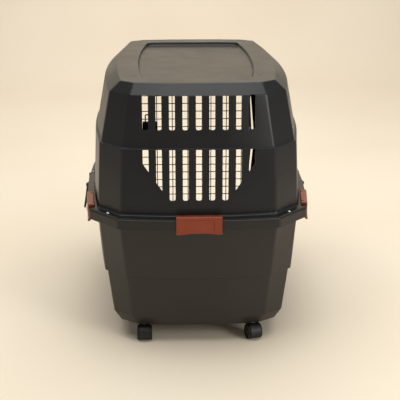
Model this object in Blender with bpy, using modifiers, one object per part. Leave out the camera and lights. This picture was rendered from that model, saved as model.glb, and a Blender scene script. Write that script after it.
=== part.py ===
"""A wheeled pet travel crate: two moulded shells, a barred door, latches, carry handles and castors.

Metres, +Z up. The floor is at Z = 0 below the middle of the crate, the door faces +Y,
and left and right are as seen by someone who stands behind the rear end and faces the door.
"""

import math
from collections import namedtuple

import bmesh
import bpy
from mathutils import Matrix, Vector

# Clearances
SEAT_GAP = 0.0003  # between two pieces that rest on each other or run in each other
BITE = 0.001  # how far shapes that are joined into one piece run into each other
REACH_PAST = 0.02  # how far a cutter runs past what it cuts
WELD = 0.0001  # how near points are welded where a shape is turned
TUBE_WELD = 0.00001  # how near points are welded where a tube's caps meet its wall

# The rim's half width and half length, which the walls, the doorway, the bolts and the castors follow
HALF_WIDTH = 0.366
HALF_LENGTH = 0.528

# Heights of the shells
BASE_Z = 0.057
TUB_FOOT_Z = 0.0925
LOWER_STEP_Z = 0.2325
RIM_Z = 0.4372
RIM_HEIGHT = 0.0307
SKIRT_Z = RIM_Z - RIM_HEIGHT
UPPER_STEP_Z = 0.6475
SHOULDER_Z = 0.8025
ROOF_Z = 0.837

# Walls and edges of the shells
WALL = 0.0035
STEP_RISE = 0.002
RIM_EDGE = 0.003
FLANGE_INSET = 0.003
FILLET = 0.003
FILLET_RISE = 0.004
RECESS_DEPTH = 0.012
RECESS_DRAFT = 0.004
FLANGE_Z = RIM_Z + SEAT_GAP + WALL

# A level is a plan outline: its bowed ends, its bowed sides and a flat facet across each corner.
# end_x, end_y and side_x, side_y are the facet's two ends, and the bows are how far the middles stand out.
Level = namedtuple("Level", "end_x end_y end_bow side_x side_y side_bow")
RIM = Level(HALF_WIDTH - 0.121, HALF_LENGTH - 0.018, 0.018, HALF_WIDTH - 0.029, HALF_LENGTH - 0.118, 0.029)


def level_inside(end_x, end_y, end_bow, side_x, side_y, side_bow):
    """A level whose facet's ends stand in from the rim's by the given distances."""
    ends = (RIM.end_x - end_x, RIM.end_y - end_y, end_bow)
    return Level(*ends, RIM.side_x - side_x, RIM.side_y - side_y, side_bow)


TUB_BASE = level_inside(0.054, 0.080, 0.012, 0.090, 0.017, 0.028)
TUB_FOOT = level_inside(0.0355, 0.0600, 0.018, 0.0685, 0.007, 0.030)
LOWER_STEP_UNDER = level_inside(0.0245, 0.0440, 0.018, 0.051, 0.0065, 0.032)
LOWER_STEP_OVER = level_inside(0.022, 0.0390, 0.018, 0.043, 0.0055, 0.032)
TUB_HEAD = level_inside(0.0055, 0.0155, 0.018, 0.027, 0.004, 0.031)
HOOD_FOOT = level_inside(0.0084, 0.0285, 0.018, 0.027, 0.010, 0.033)
UPPER_STEP_UNDER = level_inside(0.0165, 0.0300, 0.018, 0.0365, 0.013, 0.033)
UPPER_STEP_OVER = level_inside(0.0197, 0.0374, 0.018, 0.042, 0.018, 0.033)
SHOULDER = level_inside(0.0436, 0.0540, 0.018, 0.071, 0.015, 0.033)
ROOF = level_inside(0.056, 0.0775, 0.012, 0.106, 0.009, 0.028)
RECESS = level_inside(0.090, 0.148, 0.006, 0.168, 0.060, 0.021)
END_FLAT = 0.085  # half the straight middle of an end, which takes a latch
SIDE_BREAKS = (0.0, 0.3, 0.585, 1.0)  # where a side's outline has points, as shares of its half length

# Vent slots: an upper row and a lower row, the lower one drawn to a point by slanted outer slots
VENT_PITCH = 0.0395
VENT_WIDTH = 0.0195
VENT_ROUND_STEPS = 3
UPPER_VENT_LOW = 0.6985
UPPER_VENT_HIGH = 0.8045
LOWER_VENT_LOW = 0.4835
LOWER_VENT_HIGH = 0.6425
VENT_SLANT = 1.53  # rise over run of the slanted slot ends
REAR_VENTS = 9
REAR_VENTS_LEVEL = 5  # the middle slots of the lower row that reach its full depth
SIDE_VENTS = 9
SIDE_VENTS_LEVEL = 5

# Doorway at the +Y end
PORTAL_FRONT = HALF_LENGTH - 0.023
PORTAL_BACK = HALF_LENGTH - 0.168
PORTAL_PLATE = 0.004
PORTAL_SINK = 0.0002  # how far the tub's box ends below its rim
PORTAL_X = HALF_WIDTH - 0.092
PORTAL_LOW = ((PORTAL_X - 0.034, 0.110), (PORTAL_X - 0.020, 0.124), (PORTAL_X, 0.300))
PORTAL_HIGH = ((PORTAL_X, 0.560), (PORTAL_X - 0.012, 0.646), (PORTAL_X - 0.024, 0.660))
DOORWAY_LOW = ((PORTAL_X - 0.069, 0.158), (PORTAL_X - 0.047, 0.180), (PORTAL_X - 0.026, RIM_Z))
DOORWAY_HIGH = ((PORTAL_X - 0.045, 0.607), (PORTAL_X - 0.061, 0.619))

# Door
DOOR_HALF = PORTAL_X - 0.01645
CELLS_ACROSS = 17
CELLS_UP = 16
CELL_WIDTH = 2 * DOOR_HALF / CELLS_ACROSS
CELL_HEIGHT = 0.0303
DOOR_LOW = 0.146
DOOR_STAND = 0.008  # the door's plane in front of the doorway's plate
WIRE = 0.0018
WIRE_BITE = 0.0005
WIRE_SIDES = 4
FRAME_WIRE = 0.003
FRAME_CORNER = 0.014
HINGE_ROD = 0.0035
CORNER_STEPS = 3
PIN_REACH = 0.0095  # how far the hinge rod and the bolts reach into their lugs
LUG_GAP = 0.0025
LUG_HEIGHT = 0.012
LUG_HALF = 0.0087
LUG_WALL = 0.004

# Door lock
LOCK_CELLS = 5.5  # the lock's middle is this many cells off the door's middle, towards the free edge
BOLT = 0.003
BOLT_STAND = 0.0085
BOLT_TRAVEL = 0.011
GUIDE_HALF = 0.006
GUIDE_HEIGHT = 0.010
LOCK_Z = 0.4685
LOCK_HEIGHT = 0.058
LOCK_HALF = 0.030
LOCK_DEPTH = 0.01735
LOCK_EDGE = 0.003
LOCK_RIB = 0.004
BOLT_IN_LOCK = 0.010
LOOP_WIRE = 0.0025
LOOP_HALF = 0.0185  # from the bolt's axis to a leg's
LOOP_RISE = 0.0315  # how far a loop stands off the block
LOOP_CORNER = 0.006
LEG_IN_LOCK = 0.004
LEG_ROOM = 0.001  # left below a leg when its bolt is drawn
BACK_PLATE = 0.0025
BACK_PLATE_HEIGHT = 0.050
BACK_PLATE_EDGE = 0.001
SPRING_WIRE = 0.0005
SPRING_TURNS = 4
SPRING_TURN_POINTS = 6

# Latches
LATCH_HALF = 0.069
LATCH_ARM = 0.014  # from its end to the cut-out for an ear
LATCH_PIVOT_IN = 0.0145  # the hinge line's distance inside the rim's outer face
LATCH_EYE = 0.0035
LATCH_PIN = 0.0016
LATCH_PLATE = 0.004
LATCH_PROUD = 0.006
LATCH_BELOW = 0.0132  # how far it reaches below the skirt
LATCH_DROP = FLANGE_Z + LATCH_EYE + SEAT_GAP - SKIRT_Z + LATCH_BELOW
LATCH_LIP = 0.0035
LATCH_LIP_HEIGHT = 0.009
LATCH_LIP_GAP = 0.0035
LATCH_DISH = 0.0018
LATCH_DISH_HALF = 0.046
LATCH_SCOOP = 0.004
LATCH_SCOOP_HALF = 0.060
NOTCH_DEPTH = 0.0015
NOTCH_GAP = 0.002
EAR_WIDTH = 0.007
EAR_GAP = 0.0005
EAR_ROOM = 0.0015  # between an ear and the wall of its cut-out

# Shell bolts and nuts
SHELL_BOLT = 0.003
SHELL_BOLT_HEAD = 0.006
SHELL_BOLT_DOME = 0.0038
SHELL_BOLT_TAIL = 0.003
NUT_HALF = 0.0058
NUT_HEIGHT = 0.005
NUT_SIDES = 6
REAR_BOLT_X = HALF_WIDTH - 0.0895
REAR_BOLT_Y = HALF_LENGTH - 0.068
FRONT_BOLT_X = HALF_WIDTH - 0.0735
FRONT_BOLT_Y = HALF_LENGTH - 0.0865
MIDDLE_BOLT_X = HALF_WIDTH - 0.0115

# Carry handles
HANDLE_HALF = 0.0615
HANDLE_ARM = 0.014
HANDLE_GRIP = 0.024
HANDLE_THICK = 0.006
HANDLE_LENGTH = 0.088
HANDLE_TOP = 0.005
HANDLE_EDGE = 0.0015
HANDLE_EDGE_FROM = math.radians(60)  # the corners sharper than this are rounded
HANDLE_CORNER = 0.010
HANDLE_LEAN = math.radians(9)
HANDLE_PIVOT_OUT = 0.0045
HANDLE_PIVOT_Z = RIM_Z - 0.0237
HANDLE_PIN = 0.003
HANDLE_LUG = 0.006
HANDLE_LUG_GAP = 0.0008
HANDLE_LUG_HALF = 0.005

# Castors
CASTOR_X = HALF_WIDTH - 0.1935
CASTOR_Y = HALF_LENGTH - 0.119
CASTOR_TRAIL = 0.014
CASTOR_TURNS = {
    "rear_left": 0.0,
    "rear_right": math.radians(17.0),
    "front_left": math.radians(-8.0),
    "front_right": math.radians(5.0),
}
WHEEL = 0.025
WHEEL_WIDTH = 0.018
WHEEL_SIDES = 14
WHEEL_SHOULDER = 0.0025
WHEEL_DISH = 0.0015
WHEEL_HUB = 0.006
WHEEL_GAP = 0.0004
AXLE = 0.0025
AXLE_Z = WHEEL * math.cos(math.pi / WHEEL_SIDES)
FIN_HALF = 0.005
FENDER_GAP = 0.0012
FENDER = 0.0025
FENDER_HALF = 0.017
FENDER_FROM = math.radians(25)
FENDER_TO = math.radians(200)
FENDER_STEPS = 7
BOSS = 0.008
BOSS_GAP = 0.0009
KINGPIN = 0.003
KINGPIN_LENGTH = 0.020
CASTOR_PLATE = 0.018
CASTOR_PLATE_THICK = 0.0025
DIMPLE = 0.0016

ROUND = 10
SMALL_ROUND = 8
EYE_STEPS = 3
SCOOP_STEPS = 8
DOME_STEPS = 3


def clear_scene():
    for old in list(bpy.data.objects):
        bpy.data.objects.remove(old, do_unlink=True)


def make_collection(name, hidden=False):
    made = bpy.data.collections.new(name)
    made.hide_render = hidden
    bpy.context.scene.collection.children.link(made)
    return made


def make_material(name, colour, roughness, metallic=0.0):
    made = bpy.data.materials.new(name)
    made.use_nodes = True
    shader = made.node_tree.nodes["Principled BSDF"]
    shader.inputs["Base Color"].default_value = (*colour, 1.0)
    shader.inputs["Roughness"].default_value = roughness
    shader.inputs["Metallic"].default_value = metallic
    return made


clear_scene()
PARTS = make_collection("pet_travel_crate")
CUTTERS = make_collection("cutters", hidden=True)
SHELL_UPPER = make_material("hood plastic", (0.035, 0.034, 0.033), 0.5)
SHELL_LOWER = make_material("tub plastic", (0.045, 0.036, 0.029), 0.55)
TERRACOTTA = make_material("latch plastic", (0.30, 0.065, 0.025), 0.45)
BLACK = make_material("black plastic", (0.010, 0.010, 0.010), 0.5)
TYRE = make_material("castor tyre", (0.018, 0.017, 0.016), 0.7)
STEEL = make_material("zinc steel", (0.55, 0.54, 0.52), 0.3, 1.0)
DARK_WIRE = make_material("coated wire", (0.05, 0.05, 0.05), 0.4, 0.6)


# Shapes that the sub-parts share


def finish_mesh(name, bm, collection=None, material=None, place=None):
    """Turns a bmesh into an object. Without a collection it is a hidden helper."""
    bmesh.ops.recalc_face_normals(bm, faces=bm.faces)
    data = bpy.data.meshes.new(name)
    bm.to_mesh(data)
    bm.free()
    return finish_object(name, data, collection, material, place)


def finish_object(name, data, collection=None, material=None, place=None):
    made = bpy.data.objects.new(name, data)
    (collection or CUTTERS).objects.link(made)
    if material:
        data.materials.append(material)
    if place is not None:
        made.matrix_world = place
    if not collection:
        made.hide_render = True
        made.display_type = "WIRE"
    return made


def add_box(bm, low, high):
    """Adds a closed box between two corners."""
    centre = [(a + b) / 2 for a, b in zip(low, high)]
    size = [b - a for a, b in zip(low, high)]
    matrix = Matrix.Translation(centre) @ Matrix.Diagonal((*size, 1.0))
    bmesh.ops.create_cube(bm, size=1.0, matrix=matrix)


def add_rod(bm, start, end, radius, sides=SMALL_ROUND, flat_side=True):
    """Adds a closed rod between two points, turned to a flat side or to an edge."""
    start, end = Vector(start), Vector(end)
    turn = (end - start).to_track_quat("Z", "Y").to_matrix().to_4x4()
    half_side = Matrix.Rotation(math.pi / sides if flat_side else 0.0, 4, "Z")
    matrix = Matrix.Translation((start + end) / 2) @ turn @ half_side
    bmesh.ops.create_cone(
        bm,
        cap_ends=True,
        segments=sides,
        radius1=radius,
        radius2=radius,
        depth=(end - start).length,
        matrix=matrix,
    )


def add_prism(bm, outline, axis, low, high):
    """Adds an outline drawn across one axis, drawn out along it from low to high."""
    places = {
        "X": lambda a, b, along: (along, a, b),
        "Y": lambda a, b, along: (a, along, b),
        "Z": lambda a, b, along: (a, b, along),
    }[axis]
    near = [bm.verts.new(places(a, b, low)) for a, b in outline]
    face = bm.faces.new(near)
    moved = bmesh.ops.extrude_face_region(bm, geom=[face])["geom"]
    shift = Vector(places(0.0, 0.0, high)) - Vector(places(0.0, 0.0, low))
    bmesh.ops.translate(bm, vec=shift, verts=[v for v in moved if isinstance(v, bmesh.types.BMVert)])


def arc(centre, radius, start, end, steps):
    """Points on an arc, both ends included."""
    return [
        (
            centre[0] + radius * math.cos(start + (end - start) * i / steps),
            centre[1] + radius * math.sin(start + (end - start) * i / steps),
        )
        for i in range(steps + 1)
    ]


def bore_for(radius, sides=SMALL_ROUND, gap=SEAT_GAP):
    """The corner radius of a faceted hole whose flats clear a pin by the gap."""
    return (radius + gap) / math.cos(math.pi / sides)


def combine(target, other, operation, name):
    cut = target.modifiers.new(name, "BOOLEAN")
    cut.operation = operation
    cut.object = other
    cut.solver = "EXACT"


def cut_away(target, bm, name, place=None):
    combine(target, finish_mesh(name, bm, place=place), "DIFFERENCE", name)


def join_on(target, bm, name, place=None):
    combine(target, finish_mesh(name, bm, place=place), "UNION", name)


def shade_round(made, angle=math.radians(35)):
    made.data.shade_smooth()
    made.data.set_sharp_from_angle(angle=angle)


def turned(name, profile, sides, collection, material, place=None):
    """Turns a closed or axis-to-axis profile, listed down its outer side, about Z."""
    data = bpy.data.meshes.new(name)
    closed = all(radius > 0 for radius, _ in profile)
    lean = math.pi / sides
    points = [(r * math.cos(lean), r * math.sin(lean), z) for r, z in profile]
    edges = [(i, i + 1) for i in range(len(points) - 1)]
    if closed:
        edges.append((len(points) - 1, 0))
    data.from_pydata(points, edges, [])
    made = finish_object(name, data, collection, material, place)
    screw = made.modifiers.new("turn", "SCREW")
    screw.axis = "Z"
    screw.steps = sides
    screw.render_steps = sides
    screw.use_merge_vertices = True
    screw.merge_threshold = WELD
    return made


def tube(name, points, radius, resolution, collection=None, material=None, cyclic=False):
    """A bent rod along points, as a mesh whose caps are welded."""
    curve = bpy.data.curves.new(name, "CURVE")
    curve.dimensions = "3D"
    curve.bevel_depth = radius
    curve.bevel_resolution = resolution
    curve.use_fill_caps = True
    spline = curve.splines.new("POLY")
    spline.points.add(len(points) - 1)
    for point, place in zip(spline.points, points):
        point.co = (*place, 1.0)
    spline.use_cyclic_u = cyclic
    guide = bpy.data.objects.new(name + "_guide", curve)
    bpy.context.scene.collection.objects.link(guide)
    graph = bpy.context.evaluated_depsgraph_get()
    data = bpy.data.meshes.new_from_object(guide.evaluated_get(graph))
    place = guide.matrix_world.copy()
    bpy.data.objects.remove(guide, do_unlink=True)
    bm = bmesh.new()
    bm.from_mesh(data)
    bpy.data.meshes.remove(data)
    bmesh.ops.remove_doubles(bm, verts=bm.verts, dist=TUBE_WELD)
    return finish_mesh(name, bm, collection, material, place)


# Plan outlines and the shells lofted through them


def outline(level):
    """The level's points, anticlockwise from the middle of the +X side."""
    quarter = []
    for share in SIDE_BREAKS:
        quarter.append((level.side_x + level.side_bow * (1 - share**2), level.side_y * share))
    flat_share = END_FLAT / level.end_x
    for x in (level.end_x, (level.end_x + END_FLAT) / 2, END_FLAT):
        bow = (1 - (x / level.end_x) ** 2) / (1 - flat_share**2)
        quarter.append((x, level.end_y + level.end_bow * bow))
    left = [(-x, y) for x, y in reversed(quarter)]
    far = quarter + left
    near = [(x, -y) for x, y in reversed(far)][1:-1]
    return far + near


def inset(points, distance):
    """The outline drawn in by a distance, or drawn out where the distance is negative."""
    moved = []
    for i, point in enumerate(points):
        here = Vector(point)
        before = (here - Vector(points[i - 1])).normalized()
        after = (Vector(points[(i + 1) % len(points)]) - here).normalized()
        out_before = Vector((before.y, -before.x))
        out_after = Vector((after.y, -after.x))
        mitre = (out_before + out_after) / (1 + out_before.dot(out_after))
        moved.append(tuple(here - distance * mitre))
    return moved


def loft(rings, cap_first=False):
    """A skin through rings of (outline, height), capped at the last ring."""
    bm = bmesh.new()
    loops = [[bm.verts.new((x, y, z)) for x, y in points] for points, z in rings]
    for low, high in zip(loops, loops[1:]):
        for i in range(len(low)):
            j = (i + 1) % len(low)
            bm.faces.new((low[i], low[j], high[j], high[i]))
    bm.faces.new(loops[-1])
    if cap_first:
        bm.faces.new(list(reversed(loops[0])))
    return bm


def shell_from(name, rings, material):
    """An open skin given its wall towards its inner side."""
    bm = loft(rings)
    data = bpy.data.meshes.new(name)
    bm.to_mesh(data)
    bm.free()
    made = finish_object(name, data, PARTS, material)
    wall = made.modifiers.new("wall", "SOLIDIFY")
    wall.thickness = WALL
    wall.offset = -1.0
    wall.use_even_offset = True
    wall.use_quality_normals = True
    flats = made.modifiers.new("flats", "TRIANGULATE")
    flats.quad_method = "SHORTEST_DIAGONAL"
    return made


def tub_rings():
    """The tub's upper skin: up the skirt, in across the rim, then down inside to the base."""
    rim = outline(RIM)
    walls = ((TUB_HEAD, RIM_Z), (LOWER_STEP_OVER, LOWER_STEP_Z + STEP_RISE))
    walls += ((LOWER_STEP_UNDER, LOWER_STEP_Z), (TUB_FOOT, TUB_FOOT_Z), (TUB_BASE, BASE_Z + WALL))
    rings = [(rim, SKIRT_Z), (rim, RIM_Z - RIM_EDGE), (inset(rim, RIM_EDGE), RIM_Z)]
    return rings + [(inset(outline(level), WALL), z) for level, z in walls]


def hood_walls():
    return (
        (HOOD_FOOT, FLANGE_Z + FILLET_RISE),
        (UPPER_STEP_UNDER, UPPER_STEP_Z),
        (UPPER_STEP_OVER, UPPER_STEP_Z + STEP_RISE),
        (SHOULDER, SHOULDER_Z),
        (ROOF, ROOF_Z),
    )


def hood_rings():
    """The hood's outer skin: in across the flange, up the walls and down into the roof's recess."""
    recess = outline(RECESS)
    rings = [(inset(outline(RIM), FLANGE_INSET), FLANGE_Z)]
    rings.append((inset(outline(HOOD_FOOT), -FILLET), FLANGE_Z))
    rings += [(outline(level), z) for level, z in hood_walls()]
    rings.append((recess, ROOF_Z))
    rings.append((inset(recess, RECESS_DRAFT), ROOF_Z - RECESS_DEPTH))
    return rings


def core_from(levels):
    """The closed space inside levels, up to the middle of the wall, in flat faces."""
    bm = loft([(inset(outline(level), WALL / 2), z) for level, z in levels], cap_first=True)
    bmesh.ops.triangulate(bm, faces=bm.faces, quad_method="SHORT_EDGE")
    return bm


def tub_core():
    levels = ((TUB_BASE, BASE_Z + WALL / 2), (TUB_FOOT, TUB_FOOT_Z))
    levels += ((LOWER_STEP_UNDER, LOWER_STEP_Z),)
    levels += ((LOWER_STEP_OVER, LOWER_STEP_Z + STEP_RISE), (TUB_HEAD, RIM_Z + REACH_PAST))
    return core_from(levels)


def hood_core():
    return core_from(((HOOD_FOOT, RIM_Z - REACH_PAST),) + hood_walls()[:-1] + ((ROOF, ROOF_Z - WALL / 2),))


# Vents


def add_vent(bm, foot, high, axis, start, end):
    """One slot, drawn from its foot's points up to its square top."""
    add_prism(bm, foot + [(foot[-1][0], high), (foot[0][0], high)], axis, start, end)


def round_foot(middle, low):
    radius = VENT_WIDTH / 2
    return arc((middle, low + radius), radius, math.pi, 2 * math.pi, VENT_ROUND_STEPS)


def slanted_foot(middle, slant_from):
    """The foot of an outer slot of the lower row, which rises towards the corner."""
    ends = (middle - VENT_WIDTH / 2, middle + VENT_WIDTH / 2)
    return [(end, LOWER_VENT_LOW + max(0.0, abs(end) - slant_from) * VENT_SLANT) for end in ends]


def vent_rows(bm, count, level_count, axis, start, end):
    """The two rows of slots in one wall, drawn out along an axis."""
    slant_from = (level_count * VENT_PITCH - (VENT_PITCH - VENT_WIDTH)) / 2
    for i in range(count):
        middle = (i - (count - 1) / 2) * VENT_PITCH
        add_vent(bm, round_foot(middle, UPPER_VENT_LOW), UPPER_VENT_HIGH, axis, start, end)
        if abs(middle) > slant_from:
            foot = slanted_foot(middle, slant_from)
        else:
            foot = round_foot(middle, LOWER_VENT_LOW)
        add_vent(bm, foot, LOWER_VENT_HIGH, axis, start, end)


def cut_vents(hood):
    rear_reach = RIM.end_y + RIM.end_bow + REACH_PAST
    rear = bmesh.new()
    vent_rows(rear, REAR_VENTS, REAR_VENTS_LEVEL, "Y", -rear_reach, -ROOF.end_y + 2 * REACH_PAST)
    cut_away(hood, rear, "rear_vents")
    side_reach = RIM.side_x + RIM.side_bow + REACH_PAST
    sides = bmesh.new()
    vent_rows(sides, SIDE_VENTS, SIDE_VENTS_LEVEL, "X", -side_reach, side_reach)
    cut_away(hood, sides, "side_vents")


# Doorway


def mirrored(half):
    """A closed outline from the (half width, height) points of its right half, bottom to top."""
    return list(half) + [(-x, z) for x, z in reversed(half)]


def add_portal(shell, half, core, name):
    """A box round the doorway with a front plate, in place of the shell's own end wall there."""
    whole = mirrored(PORTAL_LOW + PORTAL_HIGH)
    behind = PORTAL_BACK - REACH_PAST
    ahead = RIM.end_y + RIM.end_bow + REACH_PAST
    end_wall = bmesh.new()
    add_prism(end_wall, inset(whole, WALL / 2), "Y", behind, ahead)
    cut_away(shell, end_wall, name + "_end_wall")
    bm = bmesh.new()
    add_prism(bm, mirrored(half), "Y", PORTAL_BACK, PORTAL_FRONT)
    portal = finish_mesh(name, bm)
    cut_away(portal, core, name + "_core")
    room = bmesh.new()
    add_prism(room, inset(whole, WALL), "Y", behind, PORTAL_FRONT - PORTAL_PLATE)
    cut_away(portal, room, name + "_room")
    opening = bmesh.new()
    add_prism(opening, mirrored(DOORWAY_LOW + DOORWAY_HIGH), "Y", behind, ahead)
    cut_away(portal, opening, name + "_opening")
    combine(shell, portal, "UNION", name)


DOOR_HIGH = DOOR_LOW + CELL_HEIGHT * CELLS_UP
DOOR_Y = PORTAL_FRONT + DOOR_STAND
BOLT_Y = DOOR_Y + BOLT_STAND
LOCK_X = -LOCK_CELLS * CELL_WIDTH
TOP_LUG_Z = DOOR_HIGH + FRAME_WIRE + LUG_GAP
LOW_LUG_Z = DOOR_LOW - FRAME_WIRE - LUG_GAP


def lug_span(top):
    """The lowest and highest point of the lugs above or below the door."""
    if top:
        return TOP_LUG_Z, TOP_LUG_Z + LUG_HEIGHT
    return LOW_LUG_Z - LUG_HEIGHT, LOW_LUG_Z


def add_door_lugs(shell, top, name):
    """A drilled lug for the hinge rod and a keeper, open to the front, for the lock's bolt."""
    low, high = lug_span(top)
    lugs = bmesh.new()
    lug_front = DOOR_Y + HINGE_ROD + LUG_WALL
    back = PORTAL_FRONT - BITE
    add_box(lugs, (DOOR_HALF - LUG_HALF, back, low), (DOOR_HALF + LUG_HALF, lug_front, high))
    keeper_front = BOLT_Y + BOLT + LUG_WALL / 2
    add_box(lugs, (LOCK_X - LUG_HALF, back, low), (LOCK_X + LUG_HALF, keeper_front, high))
    join_on(shell, lugs, name + "_lugs")
    holes = bmesh.new()
    clear = bore_for(HINGE_ROD)
    inner = TOP_LUG_Z if top else LOW_LUG_Z
    away = 1 if top else -1
    blind = inner + away * (PIN_REACH + SEAT_GAP)
    mouth = inner - away * REACH_PAST / 2
    add_rod(holes, (DOOR_HALF, DOOR_Y, mouth), (DOOR_HALF, DOOR_Y, blind), clear)
    groove = BOLT + SEAT_GAP
    floor = BOLT_Y - groove
    ends = sorted((inner - away * BITE, inner + away * (LUG_HEIGHT + BITE)))
    add_box(
        holes,
        (LOCK_X - groove, floor, ends[0]),
        (LOCK_X + groove, keeper_front + BITE, ends[1]),
    )
    cut_away(shell, holes, name + "_lug_holes")


# Rim seats of the latches


def latch_seats():
    """For each latch, its name and the frame on its hinge line: X along the rim, Y outward, Z up."""
    corner = Vector((RIM.side_x, RIM.side_y))
    share = SIDE_BREAKS[-2]
    middle = Vector((RIM.side_x + RIM.side_bow * (1 - share**2), RIM.side_y * share))
    centre = (corner + middle) / 2
    run = (middle - corner).normalized()
    lean = math.atan2(-run.x, -run.y)
    seats = [("rear", Vector((0.0, -RIM.end_y - RIM.end_bow)), math.pi)]
    for side, sign_x in (("left", -1), ("right", 1)):
        for end, sign_y in (("rear", -1), ("front", 1)):
            turn = -sign_x * (math.pi / 2 + sign_y * lean)
            seats.append((f"{side}_{end}", Vector((sign_x * centre.x, sign_y * centre.y)), turn))
    frames = []
    for name, seat, turn in seats:
        spin = Matrix.Rotation(turn, 4, "Z")
        outward = spin @ Vector((0.0, 1.0, 0.0))
        pivot = Vector((seat.x, seat.y, FLANGE_Z + LATCH_EYE + SEAT_GAP)) - outward * LATCH_PIVOT_IN
        frames.append((name, Matrix.Translation(pivot) @ spin))
    return frames


EAR_OUT = LATCH_HALF - LATCH_ARM - EAR_GAP
LATCH_FACE = LATCH_PIVOT_IN - NOTCH_DEPTH + SEAT_GAP  # the plate's inner face, from the hinge line


def add_latch_ears(hood):
    for name, frame in latch_seats():
        ears = bmesh.new()
        holes = bmesh.new()
        foot = -LATCH_EYE - SEAT_GAP - BITE
        for sign in (-1, 1):
            ends = sorted((sign * EAR_OUT, sign * (EAR_OUT - EAR_WIDTH)))
            profile = [(-LATCH_EYE, foot), (LATCH_EYE, foot)]
            profile += arc((0.0, 0.0), LATCH_EYE, 0.0, math.pi, EYE_STEPS)
            add_prism(ears, profile, "X", *ends)
        join_on(hood, ears, f"ears_{name}", frame)
        add_rod(holes, (-LATCH_HALF, 0, 0), (LATCH_HALF, 0, 0), bore_for(LATCH_PIN))
        cut_away(hood, holes, f"ear_holes_{name}", frame)


def cut_rim_notches(tub):
    for name, frame in latch_seats():
        notch = bmesh.new()
        half = LATCH_HALF + NOTCH_GAP
        low = SKIRT_Z - FLANGE_Z - REACH_PAST
        inner = LATCH_PIVOT_IN - NOTCH_DEPTH
        add_box(notch, (-half, inner, low), (half, LATCH_PIVOT_IN + REACH_PAST, REACH_PAST))
        cut_away(tub, notch, f"notch_{name}", frame)


# Bolts through both rims


def bolt_places():
    places = []
    for side, sign in (("left", -1), ("right", 1)):
        places.append((f"{side}_rear", sign * REAR_BOLT_X, -REAR_BOLT_Y))
        places.append((f"{side}_middle", sign * MIDDLE_BOLT_X, 0.0))
        places.append((f"{side}_front", sign * FRONT_BOLT_X, FRONT_BOLT_Y))
    return places


def cut_bolt_holes(shell, name):
    holes = bmesh.new()
    for _, x, y in bolt_places():
        low, high = RIM_Z - REACH_PAST, RIM_Z + REACH_PAST
        add_rod(holes, (x, y, low), (x, y, high), bore_for(SHELL_BOLT))
    cut_away(shell, holes, name)


def build_shell_bolts():
    nut_top = RIM_Z - WALL - SEAT_GAP
    head = FLANGE_Z + SEAT_GAP
    tail = nut_top - NUT_HEIGHT - SHELL_BOLT_TAIL
    quarter = arc((0.0, 0.0), 1.0, math.pi / 2, 0.0, DOME_STEPS)[1:]
    bolt = [(0.0, head + SHELL_BOLT_DOME)]
    bolt += [(SHELL_BOLT_HEAD * x, head + SHELL_BOLT_DOME * y) for x, y in quarter]
    bolt += [(SHELL_BOLT, head), (SHELL_BOLT, tail), (0.0, tail)]
    bore = bore_for(SHELL_BOLT, NUT_SIDES)
    nut_low = nut_top - NUT_HEIGHT
    nut = [(bore, nut_top), (NUT_HALF, nut_top), (NUT_HALF, nut_low), (bore, nut_low)]
    for name, x, y in bolt_places():
        place = Matrix.Translation((x, y, 0.0))
        shade_round(turned(f"shell_bolt_{name}", bolt, SMALL_ROUND, PARTS, STEEL, place))
        turned(f"shell_nut_{name}", nut, NUT_SIDES, PARTS, STEEL, place)


# Shells


def build_tub():
    tub = shell_from("bottom_shell", tub_rings(), SHELL_LOWER)
    split = (PORTAL_LOW[-1][0], RIM_Z - PORTAL_SINK)
    add_portal(tub, PORTAL_LOW + (split,), tub_core(), "tub_portal")
    add_door_lugs(tub, False, "tub")
    cut_rim_notches(tub)
    cut_bolt_holes(tub, "tub_bolt_holes")
    add_handle_lugs(tub)
    return tub


def build_hood():
    hood = shell_from("top_shell", hood_rings(), SHELL_UPPER)
    split = (PORTAL_HIGH[0][0], RIM_Z + SEAT_GAP)
    add_portal(hood, (split,) + PORTAL_HIGH, hood_core(), "hood_portal")
    add_door_lugs(hood, True, "hood")
    add_latch_ears(hood)
    cut_bolt_holes(hood, "hood_bolt_holes")
    cut_vents(hood)
    return hood


# Door


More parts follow.
